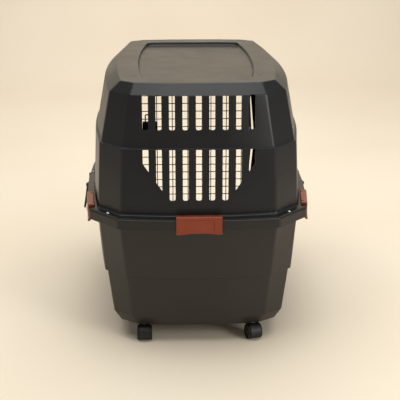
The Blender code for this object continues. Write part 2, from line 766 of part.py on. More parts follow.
def build_door():
    """Welded wires in two layers, a round frame, and a hinge rod whose ends are the pivots."""
    layer = WIRE - WIRE_BITE / 2
    upright_y, level_y = DOOR_Y + layer, DOOR_Y - layer
    corner = []
    straight_x, straight_z = DOOR_HALF - FRAME_CORNER, (DOOR_HIGH - DOOR_LOW) / 2 - FRAME_CORNER
    middle_z = (DOOR_HIGH + DOOR_LOW) / 2
    for turn, (sx, sz) in enumerate(((1, 1), (-1, 1), (-1, -1), (1, -1))):
        centre = (sx * straight_x, middle_z + sz * straight_z)
        start = turn * math.pi / 2
        corner += arc(centre, FRAME_CORNER, start, start + math.pi / 2, CORNER_STEPS)
    frame_points = [(x, DOOR_Y, z) for x, z in corner]
    door = tube("door_grid", frame_points, FRAME_WIRE, 2, PARTS, DARK_WIRE, cyclic=True)
    rod = bmesh.new()
    low, high = LOW_LUG_Z - PIN_REACH, TOP_LUG_Z + PIN_REACH
    add_rod(rod, (DOOR_HALF, DOOR_Y, low), (DOOR_HALF, DOOR_Y, high), HINGE_ROD)
    join_on(door, rod, "hinge_rod")
    guides = bmesh.new()
    for z, sign in ((DOOR_HIGH, -1), (DOOR_LOW, 1)):
        near, far = z - sign * FRAME_WIRE, z + sign * (GUIDE_HEIGHT - FRAME_WIRE)
        lower, upper = min(near, far), max(near, far)
        front = BOLT_Y + GUIDE_HALF
        add_box(guides, (LOCK_X - GUIDE_HALF, DOOR_Y, lower), (LOCK_X + GUIDE_HALF, front, upper))
    join_on(door, guides, "bolt_guides")
    uprights = bmesh.new()
    for i in range(1, CELLS_ACROSS):
        x = -DOOR_HALF + i * CELL_WIDTH
        add_wire(uprights, (x, upright_y, DOOR_LOW), (x, upright_y, DOOR_HIGH))
    join_on(door, uprights, "upright_wires")
    levels = bmesh.new()
    for i in range(1, CELLS_UP):
        z = DOOR_LOW + i * CELL_HEIGHT
        add_wire(levels, (-DOOR_HALF, level_y, z), (DOOR_HALF, level_y, z))
    join_on(door, levels, "level_wires")
    bores = bmesh.new()
    clear = bore_for(BOLT)
    for z in (DOOR_LOW, DOOR_HIGH):
        low, high = z - GUIDE_HEIGHT - BITE, z + GUIDE_HEIGHT + BITE
        add_rod(bores, (LOCK_X, BOLT_Y, low), (LOCK_X, BOLT_Y, high), clear)
    cut_away(door, bores, "guide_bores")
    return door


def add_wire(bm, start, end):
    """Adds a square wire with one edge to the front, so that two layers meet edge to edge."""
    add_rod(bm, start, end, WIRE, WIRE_SIDES, flat_side=False)


WIRES_FRONT = DOOR_Y + 2 * WIRE - WIRE_BITE / 2
WIRES_BACK = DOOR_Y - 2 * WIRE + WIRE_BITE / 2
LOCK_LOW = LOCK_Z - LOCK_HEIGHT / 2
LOCK_HIGH = LOCK_Z + LOCK_HEIGHT / 2


def build_lock():
    """A block clamped on the wires, two bolts that a squeeze of their loops draws in, and their springs."""
    back = WIRES_FRONT + SEAT_GAP
    block = bmesh.new()
    add_box(
        block,
        (LOCK_X - LOCK_HALF, back, LOCK_LOW),
        (LOCK_X + LOCK_HALF, back + LOCK_DEPTH, LOCK_HIGH),
    )
    housing = finish_mesh("lock_housing", block, PARTS, BLACK)
    edge = housing.modifiers.new("edge", "BEVEL")
    edge.width = LOCK_EDGE
    edge.segments = 2
    bores = bmesh.new()
    clear = bore_for(BOLT)
    for sign, mouth in ((1, LOCK_HIGH + BITE), (-1, LOCK_LOW - BITE)):
        inner = LOCK_Z + sign * LOCK_RIB / 2
        add_rod(bores, (LOCK_X, BOLT_Y, inner), (LOCK_X, BOLT_Y, mouth), clear)
        leg_end = LOCK_Z + sign * (LOCK_HEIGHT / 2 - LEG_IN_LOCK - BOLT_TRAVEL - LEG_ROOM)
        for x in (LOCK_X - LOOP_HALF, LOCK_X + LOOP_HALF):
            add_rod(bores, (x, BOLT_Y, leg_end), (x, BOLT_Y, mouth), bore_for(LOOP_WIRE))
    cut_away(housing, bores, "lock_bores")
    plate_top = WIRES_BACK - SEAT_GAP
    plate = bmesh.new()
    half = BACK_PLATE_HEIGHT / 2
    add_box(
        plate,
        (LOCK_X - LOCK_HALF, plate_top - BACK_PLATE, LOCK_Z - half),
        (LOCK_X + LOCK_HALF, plate_top, LOCK_Z + half),
    )
    back_plate = finish_mesh("lock_back_plate", plate, PARTS, BLACK)
    rounding = back_plate.modifiers.new("edge", "BEVEL")
    rounding.width = BACK_PLATE_EDGE
    rounding.segments = 1
    for name, sign, mouth, tip in (
        ("upper", 1, LOCK_HIGH, TOP_LUG_Z + PIN_REACH),
        ("lower", -1, LOCK_LOW, LOW_LUG_Z - PIN_REACH),
    ):
        build_bolt(name, sign, mouth, tip)
        build_spring(name, sign, mouth)


def build_bolt(name, sign, mouth, tip):
    """A bolt with a loop of wire across it, whose legs run in the block."""
    inner = mouth - sign * BOLT_IN_LOCK
    bm = bmesh.new()
    add_rod(bm, (LOCK_X, BOLT_Y, min(inner, tip)), (LOCK_X, BOLT_Y, max(inner, tip)), BOLT)
    bolt = finish_mesh(f"lock_bolt_{name}", bm, PARTS, STEEL)
    straight, rise = LOOP_HALF - LOOP_CORNER, LOOP_RISE - LOOP_WIRE - LOOP_CORNER
    path = [(-LOOP_HALF, -LEG_IN_LOCK)]
    path += arc((-straight, rise), LOOP_CORNER, math.pi, math.pi / 2, CORNER_STEPS)
    path += arc((straight, rise), LOOP_CORNER, math.pi / 2, 0.0, CORNER_STEPS)
    path.append((LOOP_HALF, -LEG_IN_LOCK))
    points = [(LOCK_X + x, BOLT_Y, mouth + sign * up) for x, up in path]
    combine(bolt, tube(f"loop_wire_{name}", points, LOOP_WIRE, 2), "UNION", f"loop_{name}")


def build_spring(name, sign, mouth):
    """A coil between the lock's middle rib and the bolt's inner end."""
    seat = LOCK_Z + sign * (LOCK_RIB / 2 + SPRING_WIRE + SEAT_GAP)
    end = mouth - sign * (BOLT_IN_LOCK + SPRING_WIRE + SEAT_GAP)
    radius = BOLT - SPRING_WIRE
    count = SPRING_TURNS * SPRING_TURN_POINTS
    points = []
    for i in range(count + 1):
        angle = 2 * math.pi * i / SPRING_TURN_POINTS
        z = seat + (end - seat) * i / count
        points.append((LOCK_X + radius * math.cos(angle), BOLT_Y + radius * math.sin(angle), z))
    tube(f"lock_spring_{name}", points, SPRING_WIRE, 0, PARTS, STEEL)


# Latches


def build_latches():
    """Each latch hangs from its pin, covers the flange and the rim, and hooks under the skirt."""
    outer = LATCH_FACE + LATCH_PLATE
    flare = LATCH_PIVOT_IN + LATCH_PROUD
    drop = -LATCH_DROP
    lip_top = SKIRT_Z - LATCH_LIP_GAP - (FLANGE_Z + LATCH_EYE + SEAT_GAP)
    body = arc((0.0, 0.0), LATCH_EYE, math.pi / 2, 3 * math.pi / 2, EYE_STEPS)
    body += [
        (LATCH_FACE, -LATCH_EYE),
        (LATCH_FACE, lip_top),
        (LATCH_FACE - LATCH_LIP, lip_top),
        (LATCH_FACE - LATCH_LIP, lip_top - LATCH_LIP_HEIGHT / 2),
        (LATCH_FACE, drop),
        (flare, drop),
        (outer, drop + LATCH_LIP_HEIGHT),
        (outer, LATCH_EYE / 3),
        (outer - LATCH_EYE * 2 / 3, LATCH_EYE),
    ]
    for name, frame in latch_seats():
        bm = bmesh.new()
        add_prism(bm, body, "X", -LATCH_HALF, LATCH_HALF)
        latch = finish_mesh(f"latch_{name}", bm, PARTS, TERRACOTTA, frame)
        bore = bmesh.new()
        add_rod(bore, (-LATCH_HALF - BITE, 0, 0), (LATCH_HALF + BITE, 0, 0), bore_for(LATCH_PIN))
        cut_away(latch, bore, f"latch_bore_{name}", frame)
        cuts = bmesh.new()
        room = LATCH_EYE + EAR_ROOM
        for sign in (-1, 1):
            low, high = sorted((sign * (EAR_OUT + EAR_GAP), sign * (EAR_OUT - EAR_WIDTH - EAR_GAP)))
            add_box(cuts, (low, -room, -room), (high, room, room))
        dish_high, dish_low = -2 * LATCH_EYE, drop + 1.5 * LATCH_LIP_HEIGHT
        add_box(
            cuts,
            (-LATCH_DISH_HALF, outer - LATCH_DISH, dish_low),
            (LATCH_DISH_HALF, outer + REACH_PAST, dish_high),
        )
        cut_away(latch, cuts, f"latch_cuts_{name}", frame)
        scoop = bmesh.new()
        add_prism(scoop, finger_scoop(drop), "Y", 0.0, flare + REACH_PAST)
        cut_away(latch, scoop, f"scoop_{name}", frame)
        pin = bmesh.new()
        add_rod(pin, (-LATCH_HALF, 0, 0), (LATCH_HALF, 0, 0), LATCH_PIN)
        finish_mesh(f"latch_pin_{name}", pin, PARTS, STEEL, frame)


def finger_scoop(edge):
    """A flat arc that rises from a little below a latch's lower edge."""
    radius = (LATCH_SCOOP_HALF**2 + LATCH_SCOOP**2) / (2 * LATCH_SCOOP)
    below = LATCH_SCOOP / 2
    spread = math.acos((radius - LATCH_SCOOP - below) / radius)
    centre = (0.0, edge + LATCH_SCOOP - radius)
    up = math.pi / 2
    return arc(centre, radius, up + spread, up - spread, SCOOP_STEPS)


# Carry handles


def handle_frames():
    """For each handle, the frame on its hinge line: X along the crate, Y outward, Z up."""
    reach = RIM.side_x + RIM.side_bow + HANDLE_PIVOT_OUT
    for name, sign in (("left", -1), ("right", 1)):
        spin = Matrix.Rotation(-sign * math.pi / 2, 4, "Z")
        yield name, Matrix.Translation((sign * reach, 0.0, HANDLE_PIVOT_Z)) @ spin


LUG_IN = HANDLE_HALF + HANDLE_LUG_GAP


def add_handle_lugs(tub):
    for name, frame in handle_frames():
        lugs = bmesh.new()
        for sign in (-1, 1):
            low, high = sorted((sign * LUG_IN, sign * (LUG_IN + HANDLE_LUG)))
            half = HANDLE_LUG_HALF
            add_box(lugs, (low, -HANDLE_PIVOT_OUT - WALL / 2, -half), (high, half, half))
        join_on(tub, lugs, f"handle_lugs_{name}", frame)
        holes = bmesh.new()
        reach = LUG_IN + HANDLE_LUG + BITE
        add_rod(holes, (-reach, 0, 0), (reach, 0, 0), bore_for(HANDLE_PIN))
        cut_away(tub, holes, f"handle_holes_{name}", frame)


def build_handles():
    """A flat bail that hangs from two stub pins and leans out, clear of the tub's wall."""
    half, low = HANDLE_THICK / 2, -HANDLE_LENGTH
    corner = HANDLE_CORNER
    rim = [(HANDLE_HALF, HANDLE_TOP), (-HANDLE_HALF, HANDLE_TOP)]
    rim += arc((-HANDLE_HALF + corner, low + corner), corner, math.pi, 1.5 * math.pi, CORNER_STEPS)
    rim += arc((HANDLE_HALF - corner, low + corner), corner, 1.5 * math.pi, 2 * math.pi, CORNER_STEPS)
    inner, grip = HANDLE_HALF - HANDLE_ARM, low + HANDLE_GRIP
    gap = [(inner, HANDLE_TOP + BITE), (-inner, HANDLE_TOP + BITE)]
    gap += arc((-inner + corner, grip + corner), corner, math.pi, 1.5 * math.pi, CORNER_STEPS)
    gap += arc((inner - corner, grip + corner), corner, 1.5 * math.pi, 2 * math.pi, CORNER_STEPS)
    for name, frame in handle_frames():
        lean = Matrix.Rotation(HANDLE_LEAN, 4, "X")
        bail = bmesh.new()
        add_prism(bail, rim, "Y", -half, half)
        handle = finish_mesh(f"handle_{name}", bail, PARTS, BLACK, frame @ lean)
        window = bmesh.new()
        add_prism(window, gap, "Y", -half - BITE, half + BITE)
        cut_away(handle, window, f"handle_window_{name}", frame @ lean)
        edge = handle.modifiers.new("edge", "BEVEL")
        edge.width = HANDLE_EDGE
        edge.segments = 1
        edge.limit_method = "ANGLE"
        edge.angle_limit = HANDLE_EDGE_FROM
        stubs = bmesh.new()
        for sign in (-1, 1):
            add_rod(stubs, (sign * inner, 0, 0), (sign * (LUG_IN + HANDLE_LUG), 0, 0), HANDLE_PIN)
        join_on(handle, stubs, f"handle_stubs_{name}", frame @ lean)


# Castors


def build_castors():
    """Four twin-wheel castors, trailing to the rear as if the crate had been rolled forward."""
    for name, turn in CASTOR_TURNS.items():
        x = CASTOR_X if name.endswith("right") else -CASTOR_X
        y = CASTOR_Y if name.startswith("front") else -CASTOR_Y
        build_castor(name, Matrix.Translation((x, y, 0.0)) @ Matrix.Rotation(turn, 4, "Z"))


def build_castor(name, place):
    swivel = bpy.data.objects.new(f"castor_{name}_swivel", None)
    PARTS.objects.link(swivel)
    swivel.matrix_world = place
    plate_high = BASE_Z - SEAT_GAP
    plate_low = plate_high - CASTOR_PLATE_THICK
    profile = [
        (0.0, plate_high),
        (CASTOR_PLATE - BITE, plate_high),
        (CASTOR_PLATE, plate_low + BITE),
        (CASTOR_PLATE, plate_low),
        (KINGPIN, plate_low),
        (KINGPIN, plate_high - KINGPIN_LENGTH),
        (0.0, plate_high - KINGPIN_LENGTH),
    ]
    shade_round(turned(f"castor_{name}_plate", profile, ROUND, PARTS, STEEL, place))
    build_hood_of_castor(name, place, plate_low)
    axle = bmesh.new()
    half = FIN_HALF + WHEEL_GAP + WHEEL_WIDTH - WHEEL_DISH
    add_rod(axle, (-half, 0, 0), (half, 0, 0), AXLE)
    axle_place = place @ Matrix.Translation((0.0, -CASTOR_TRAIL, AXLE_Z))
    made = finish_mesh(f"castor_{name}_axle", axle, PARTS, STEEL)
    hang(made, swivel, axle_place)
    for side, sign in (("left", -1), ("right", 1)):
        middle = sign * (FIN_HALF + WHEEL_GAP + WHEEL_WIDTH / 2)
        spin = Matrix.Rotation(sign * math.pi / 2, 4, "Y")
        wheel = turned(f"castor_{name}_wheel_{side}", wheel_profile(), WHEEL_SIDES, PARTS, TYRE)
        shade_round(wheel)
        hang(wheel, swivel, axle_place @ Matrix.Translation((middle, 0.0, 0.0)) @ spin)


def hang(made, parent, place):
    made.parent = parent
    made.matrix_parent_inverse = parent.matrix_world.inverted()
    made.matrix_basis = place


def wheel_profile():
    """From the bore across the dished outer face, down the tread and back along the inner face."""
    bore, half = bore_for(AXLE, WHEEL_SIDES), WHEEL_WIDTH / 2
    return [
        (bore, half - WHEEL_DISH),
        (WHEEL_HUB, half - WHEEL_DISH),
        (WHEEL - WHEEL_SHOULDER, half),
        (WHEEL, half - WHEEL_SHOULDER),
        (WHEEL, -half + WHEEL_SHOULDER / 2),
        (WHEEL - WHEEL_SHOULDER / 2, -half),
        (bore, -half),
    ]


def build_hood_of_castor(name, place, plate_low):
    """A fin between the wheels, a fender over them and a boss round the kingpin."""
    centre = (-CASTOR_TRAIL, AXLE_Z)
    inner = WHEEL + FENDER_GAP
    outer = inner + FENDER
    fender = arc(centre, outer, FENDER_FROM, FENDER_TO, FENDER_STEPS)
    fender += arc(centre, inner, FENDER_TO, FENDER_FROM, FENDER_STEPS)
    bm = bmesh.new()
    add_prism(bm, fender, "X", -FENDER_HALF, FENDER_HALF)
    hood = finish_mesh(f"castor_{name}_hood", bm, PARTS, BLACK, place)
    fin = bmesh.new()
    edge = arc(centre, inner + FENDER / 2, FENDER_FROM, FENDER_TO, FENDER_STEPS)
    add_prism(fin, edge + [(centre[0], centre[1] - WHEEL_HUB)], "X", -FIN_HALF, FIN_HALF)
    join_on(hood, fin, f"fin_{name}", place)
    boss = bmesh.new()
    top = plate_low - BOSS_GAP
    add_rod(boss, (0, 0, AXLE_Z + WHEEL), (0, 0, top), BOSS, ROUND)
    join_on(hood, boss, f"boss_{name}", place)
    holes = bmesh.new()
    low = BASE_Z - SEAT_GAP - KINGPIN_LENGTH - SEAT_GAP
    add_rod(holes, (0, 0, low), (0, 0, top + BITE), bore_for(KINGPIN, ROUND), ROUND)
    cut_away(hood, holes, f"kingpin_hole_{name}", place)
    cross = bmesh.new()
    reach = FIN_HALF + BITE
    add_rod(cross, (-reach, centre[0], AXLE_Z), (reach, centre[0], AXLE_Z), bore_for(AXLE))
    cut_away(hood, cross, f"axle_hole_{name}", place)
    dimple = bmesh.new()
    face = centre[0] - outer
    add_rod(dimple, (0, face - BITE, AXLE_Z), (0, face + FENDER / 2, AXLE_Z), DIMPLE)
    cut_away(hood, dimple, f"dimple_{name}", place)


build_tub()
build_hood()
build_shell_bolts()
build_door()
build_lock()
build_latches()
build_handles()
build_castors()
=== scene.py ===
"""Looks for the wheeled pet travel crate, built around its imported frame.

Metres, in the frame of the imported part: +Y is the door end, +X is to the right of someone who
stands behind the rear end and faces the door, and +Z is up.
"""

import logging
import math
from collections.abc import Iterable, Sequence
from dataclasses import dataclass
from enum import Enum
from functools import cache

import bmesh
import bpy
from bpy.types import Material, Node, NodeSocket, NodeTree, Object
from mathutils import Matrix, Vector


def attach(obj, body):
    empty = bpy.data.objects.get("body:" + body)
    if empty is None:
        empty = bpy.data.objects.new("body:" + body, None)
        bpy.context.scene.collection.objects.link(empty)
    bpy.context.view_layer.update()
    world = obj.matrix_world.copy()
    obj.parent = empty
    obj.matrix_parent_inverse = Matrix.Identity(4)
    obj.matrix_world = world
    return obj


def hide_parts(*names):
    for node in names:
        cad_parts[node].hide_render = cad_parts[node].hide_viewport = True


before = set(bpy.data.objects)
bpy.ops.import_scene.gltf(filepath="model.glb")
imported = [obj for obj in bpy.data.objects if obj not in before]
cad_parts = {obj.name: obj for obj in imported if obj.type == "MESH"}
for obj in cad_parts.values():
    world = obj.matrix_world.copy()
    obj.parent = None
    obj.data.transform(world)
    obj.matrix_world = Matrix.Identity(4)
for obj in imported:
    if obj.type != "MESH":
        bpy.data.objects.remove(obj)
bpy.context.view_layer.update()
LOG = logging.getLogger("pet_travel_crate")

Point = tuple[float, float]
Span = tuple[float, float]  # from a low to a high value
Ring = list[Vector]


class Side(Enum):
    """The crate's two long sides, with the sign of their X."""

    LEFT = -1
    RIGHT = 1


class End(Enum):
    """The crate's two ends, with the sign of their Y."""

    REAR = -1
    FRONT = 1


class Cut(Enum):
    """What a tool mesh does to a workpiece."""

    AWAY = "DIFFERENCE"
    ON = "UNION"


# Finishes


def linear(colour: str) -> tuple[float, float, float, float]:
    """Turns an sRGB hex colour to linear.

    Args:
        colour: Six hex digits after a hash sign.

    Returns:
        Linear red, green and blue, and an alpha of 1.
    """
    channels = [int(colour[i : i + 2], 16) / 255 for i in (1, 3, 5)]
    red, green, blue = ((c / 12.92) if c <= 0.04045 else ((c + 0.055) / 1.055) ** 2.4 for c in channels)
    return red, green, blue, 1.0


MM_PER_METRE = 1000.0


def per_metre(size_mm: float) -> float:
    """The texture scale that repeats a pattern about once in a size in millimetres."""
    return MM_PER_METRE / size_mm


def add_node(
    tree: NodeTree, kind: str, settings: dict[str, object], links: dict[str, NodeSocket]
) -> Node:
    """Adds a node with its settings and links.

    Args:
        tree: The node tree.
        kind: The node's type name.
        settings: Input values by socket name, or node properties by attribute name.
        links: Output sockets of other nodes by the name of the input that they feed.

    Returns:
        The new node.
    """
    node = tree.nodes.new(kind)
    for name, value in settings.items():
        if name in node.inputs:
            node.inputs[name].default_value = value
        else:
            setattr(node, name, value)
    for name, source in links.items():
        tree.links.new(source, node.inputs[name])
    return node


def blank_material(name: str) -> tuple[Material, NodeTree, Node]:
    """Makes a material with only its Principled shader.

    Args:
        name: The material's name.

    Returns:
        The material, its tree and the shader.
    """
    made = bpy.data.materials.new(name)
    made.use_nodes = True
    return made, made.node_tree, made.node_tree.nodes["Principled BSDF"]


def noise(tree: NodeTree, size_mm: float, detail: float) -> NodeSocket:
    """A noise value in the object's own space.

    Args:
        tree: The node tree.
        size_mm: The size of its patches.
        detail: How many finer layers it has.

    Returns:
        The output socket.
    """
    place = add_node(tree, "ShaderNodeTexCoord", {}, {}).outputs["Object"]
    return add_node(
        tree, "ShaderNodeTexNoise", {"Scale": per_metre(size_mm), "Detail": detail}, {"Vector": place}
    ).outputs[0]


def bumped(tree: NodeTree, height: NodeSocket, strength: float, depth_mm: float) -> NodeSocket:
    """A surface normal that follows a height.

    Args:
        tree: The node tree.
        height: The height, from 0 to 1.
        strength: How much of the bump shows.
        depth_mm: How deep a height of 1 is.

    Returns:
        The output socket.
    """
    depth = depth_mm / MM_PER_METRE
    return add_node(
        tree, "ShaderNodeBump", {"Strength": strength, "Distance": depth}, {"Height": height}
    ).outputs[0]


NOISE_LOW = 0.3  # nearly all of a noise texture's values lie between these two
NOISE_HIGH = 0.7


def mottled(tree: NodeTree, source: NodeSocket, low: object, high: object, kind: str) -> NodeSocket:
    """Spreads a noise value between two values or two colours.

    Args:
        tree: The node tree.
        source: The noise value.
        low: What the low end of the noise gives.
        high: What the high end gives.
        kind: FLOAT or RGBA.

    Returns:
        The output socket.
    """
    spread = add_node(
        tree,
        "ShaderNodeMapRange",
        {"From Min": NOISE_LOW, "From Max": NOISE_HIGH, "To Min": 0.0, "To Max": 1.0},
        {"Value": source},
    ).outputs[0]
    mix = add_node(tree, "ShaderNodeMix", {"data_type": kind}, {})
    inputs = [socket for socket in mix.inputs if socket.enabled]
    factor, first, second = inputs[0], inputs[1], inputs[2]
    first.default_value, second.default_value = low, high
    tree.links.new(spread, factor)
    return next(socket for socket in mix.outputs if socket.enabled)


@dataclass(frozen=True)
class MouldedPolypropylene:
    """Injection-moulded polypropylene with the fine grain of a spark-eroded mould.

    The eye gets a satin surface with a soft sheen at a grazing angle, a fine grain, and faint
    flow marks where the melt cooled at different speeds.
    """

    name: str
    colour: str
    flow_colour: str
    roughness: float
    roughness_spread: float = 0.03
    grain_mm: float = 1.1  # the real grain is 0.2 mm; it is drawn coarser, so that it shows
    grain_depth_mm: float = 0.05
    grain_detail: float = 2.0
    grain_strength: float = 0.5
    flow_mm: float = 90.0
    flow_detail: float = 4.0
    refraction: float = 1.49

    def material(self) -> Material:
        """The finish as a material."""
        made, tree, shader = blank_material(self.name)
        flow = noise(tree, self.flow_mm, self.flow_detail)
        grain = noise(tree, self.grain_mm, self.grain_detail)
        colour = mottled(tree, flow, linear(self.colour), linear(self.flow_colour), "RGBA")
        low, high = self.roughness - self.roughness_spread, self.roughness + self.roughness_spread
        rough = mottled(tree, flow, low, high, "FLOAT")
        bump = bumped(tree, grain, self.grain_strength, self.grain_depth_mm)
        tree.links.new(colour, shader.inputs["Base Color"])
        tree.links.new(rough, shader.inputs["Roughness"])
        tree.links.new(bump, shader.inputs["Normal"])
        shader.inputs["IOR"].default_value = self.refraction
        return made


@dataclass(frozen=True)
class ZincPlatedSteel:
    """Steel with a zinc plate, bright or blackened: faint cloudy patches and a soft reflection."""

    name: str
    colour: str
    cloud_colour: str
    roughness: float
    cloud_mm: float = 6.0
    cloud_detail: float = 3.0
    smoothest: float = 0.8  # as shares of the roughness
    roughest: float = 1.3

    def material(self) -> Material:
        """The finish as a material."""
        made, tree, shader = blank_material(self.name)
        cloud = noise(tree, self.cloud_mm, self.cloud_detail)
        colour = mottled(tree, cloud, linear(self.colour), linear(self.cloud_colour), "RGBA")
        low, high = self.roughness * self.smoothest, self.roughness * self.roughest
        rough = mottled(tree, cloud, low, high, "FLOAT")
        tree.links.new(colour, shader.inputs["Base Color"])
        tree.links.new(rough, shader.inputs["Roughness"])
        shader.inputs["Metallic"].default_value = 1.0
        return made


@dataclass(frozen=True)
class CoatedWireWithPaintedShade:
    """Welded coated steel wire, darkened with painted shade: smooth, with a thin gloss over a little orange
    peel.
    """

    name: str
    colour: str
    roughness: float
    roughness_spread: float = 0.15  # as a share of the roughness
    peel_mm: float = 2.5
    peel_depth_mm: float = 0.06
    peel_detail: float = 1.0
    peel_strength: float = 0.4

    def material(self) -> Material:
        """The finish as a material."""
        made, tree, shader = blank_material(self.name)
        peel = noise(tree, self.peel_mm, self.peel_detail)
        bump = bumped(tree, peel, self.peel_strength, self.peel_depth_mm)
        spread = self.roughness * self.roughness_spread
        rough = mottled(tree, peel, self.roughness - spread, self.roughness + spread, "FLOAT")
        shader.inputs["Base Color"].default_value = linear(self.colour)
        tree.links.new(rough, shader.inputs["Roughness"])
        tree.links.new(bump, shader.inputs["Normal"])
        return made


@dataclass(frozen=True)
class SeamlessPaper:
    """A matte paper roll for the studio floor."""

    name: str
    colour: str
    fibre_colour: str
    fibre_mm: float = 900.0
    fibre_detail: float = 1.0
    roughness: float = 0.9
    specular_level: float = 0.1

    def material(self) -> Material:
        """The finish as a material."""
        made, tree, shader = blank_material(self.name)
        fibre = noise(tree, self.fibre_mm, self.fibre_detail)
        colour = mottled(tree, fibre, linear(self.colour), linear(self.fibre_colour), "RGBA")
        tree.links.new(colour, shader.inputs["Base Color"])
        shader.inputs["Roughness"].default_value = self.roughness
        shader.inputs["Specular IOR Level"].default_value = self.specular_level
        return made


HOOD_PLASTIC = MouldedPolypropylene("charcoal_hood_polypropylene", "#171616", "#1a1919", 0.35)
TUB_PLASTIC = MouldedPolypropylene("charcoal_tub_polypropylene", "#1c1814", "#201c17", 0.44)
LATCH_PLASTIC = MouldedPolypropylene("terracotta_latch_polypropylene", "#86371b", "#914022", 0.30)
BLACK_PLASTIC = MouldedPolypropylene("black_nylon", "#100f0f", "#161514", 0.48, grain_mm=0.9)
TREAD_RUBBER = MouldedPolypropylene("black_thermoplastic_rubber", "#0f0e0c", "#151310", 0.66, grain_mm=0.9)
ZINC_PLATE = ZincPlatedSteel("bright_zinc_plated_steel", "#c4c4c2", "#a7a7a8", 0.28)
BLACK_ZINC = ZincPlatedSteel("black_zinc_plated_steel", "#2b2b2c", "#232324", 0.4)
# the door wire's dark colour is painted shade: it is darkened to look as wire does against a bright
# backdrop
DOOR_COATING_WITH_PAINTED_SHADE = CoatedWireWithPaintedShade("coated_wire_with_painted_shade", "#3a3938", 0.35)
STUDIO_PAPER = SeamlessPaper("cream_seamless_paper", "#f4e7d1", "#f1e3cb")

Finish = MouldedPolypropylene | ZincPlatedSteel | CoatedWireWithPaintedShade | SeamlessPaper


@cache
def finished(finish: Finish) -> Material:
    """The one material of a finish."""
    return finish.material()


# Meshes

WELD_DISTANCE = 0.00002  # points nearer than this are made one
SEAM_DISTANCE = 0.00001  # the same for the points of a bent bar
MOST_SHARE = 0.45  # the most of an edge that one rounding takes
CAP_PAST = 1.5  # how far a flat arc runs on past its chord, as a share of its rise
ROD_SIDES = 20
BAR_SIDES = 16
SHARP_ANGLE = 40.0  # degrees; from here an edge stays sharp
MOULDED_SHARP_ANGLE = 50.0  # the same for the shells, the handles and the door
FINE_SHARP_ANGLE = 30.0  # the same for the latches and the tyres
FLAT_ANGLE = 1.0  # degrees; faces that meet below this are merged


def fresh_object(name: str, data: bpy.types.ID) -> Object:
    """Links a new object that holds a mesh, a curve, a light or a camera.

    Args:
        name: The object's name.
        data: What it holds.

    Returns:
        The object.
    """
    made = bpy.data.objects.new(name, data)
    bpy.context.scene.collection.objects.link(made)
    return made


def object_from(bm: bmesh.types.BMesh, name: str, place: Matrix | None = None) -> Object:
    """Turns a bmesh into an object with outward faces.

    Args:
        bm: The mesh, which is freed.
        name: The object's name.
        place: A transform to give the mesh's points, if any.

    Returns:
        The object, which sits at the origin.
    """
    bmesh.ops.recalc_face_normals(bm, faces=bm.faces)
    if place is not None:
        bm.transform(place)
    mesh = bpy.data.meshes.new(name)
    bm.to_mesh(mesh)
    bm.free()
    return fresh_object(name, mesh)


def apply_modifiers(made: Object) -> Object:
    """Replaces an object's mesh by what its modifiers make of it.

    Args:
        made: The object, whose modifiers are used up.

    Returns:
        The object.
    """
    bpy.context.view_layer.update()
    graph = bpy.context.evaluated_depsgraph_get()
    mesh = bpy.data.meshes.new_from_object(made.evaluated_get(graph))
    made.modifiers.clear()
    old = made.data
    made.data = mesh
    bpy.data.meshes.remove(old)
    return made


def carve(made: Object, tool: bmesh.types.BMesh, kind: Cut, place: Matrix | None = None) -> Object:
    """Cuts a tool mesh away from an object, or joins it on.

    Args:
        made: The workpiece.
        tool: A closed mesh, which is freed.
        kind: Whether it is cut away or joined on.
        place: A transform to give the tool, if any.

    Returns:
        The workpiece.
    """
    other = object_from(tool, "tool", place)
    step = made.modifiers.new("carve", "BOOLEAN")
    step.operation = kind.value
    step.solver = "EXACT"
    step.object = other
    apply_modifiers(made)
    bpy.data.meshes.remove(other.data)
    return made


def taken(mesh: bpy.types.Mesh) -> bmesh.types.BMesh:
    """Takes a mesh over for more work, and removes it with any object that holds it.

    Args:
        mesh: The mesh, which is removed.

    Returns:
        A copy of it to work on.
    """
    bm = bmesh.new()
    bm.from_mesh(mesh)
    bpy.data.meshes.remove(mesh)
    return bm


def shade(made: Object, above: float = SHARP_ANGLE) -> Object:
    """Shades an object smooth, but for the edges that turn by more than an angle.

    Args:
        made: The object.
        above: The angle in degrees.

    Returns:
        The object.
    """
    made.data.shade_smooth()
    made.data.set_sharp_from_angle(angle=math.radians(above))
    return made


def soften_edges(made: Object, width: float, segments: int = 2, above: float = SHARP_ANGLE) -> Object:
    """Rounds an object's sharp edges and shades it by its largest faces.

    Args:
        made: The object.
        width: The rounding's width.
        segments: The number of faces across it.
        above: The angle in degrees from which an edge is sharp.

    Returns:
        The object.
    """
    weld = made.modifiers.new("weld", "WELD")
    weld.merge_threshold = WELD_DISTANCE
    merge = made.modifiers.new("merge", "DECIMATE")
    merge.decimate_type = "DISSOLVE"
    merge.angle_limit = math.radians(FLAT_ANGLE)
    bevel = made.modifiers.new("bevel", "BEVEL")
    bevel.width = width
    bevel.segments = segments
    bevel.limit_method = "ANGLE"
    bevel.angle_limit = math.radians(above)
    bevel.use_clamp_overlap = True
    bevel.miter_outer = "MITER_ARC"
    shade(apply_modifiers(made), above)
    even = made.modifiers.new("even", "WEIGHTED_NORMAL")
    even.keep_sharp = True
    return apply_modifiers(made)


def dress(made: Object, body: str, material: Material, slot: str, *nodes: str) -> Object:
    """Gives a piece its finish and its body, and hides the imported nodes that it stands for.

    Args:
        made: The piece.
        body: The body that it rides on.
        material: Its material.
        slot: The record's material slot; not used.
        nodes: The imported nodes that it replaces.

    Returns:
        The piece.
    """
    made.data.materials.clear()
    made.data.materials.append(material)
    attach(made, body)
    if nodes:
        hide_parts(*nodes)
    LOG.info("%s rides on %s", made.name, body)
    return made


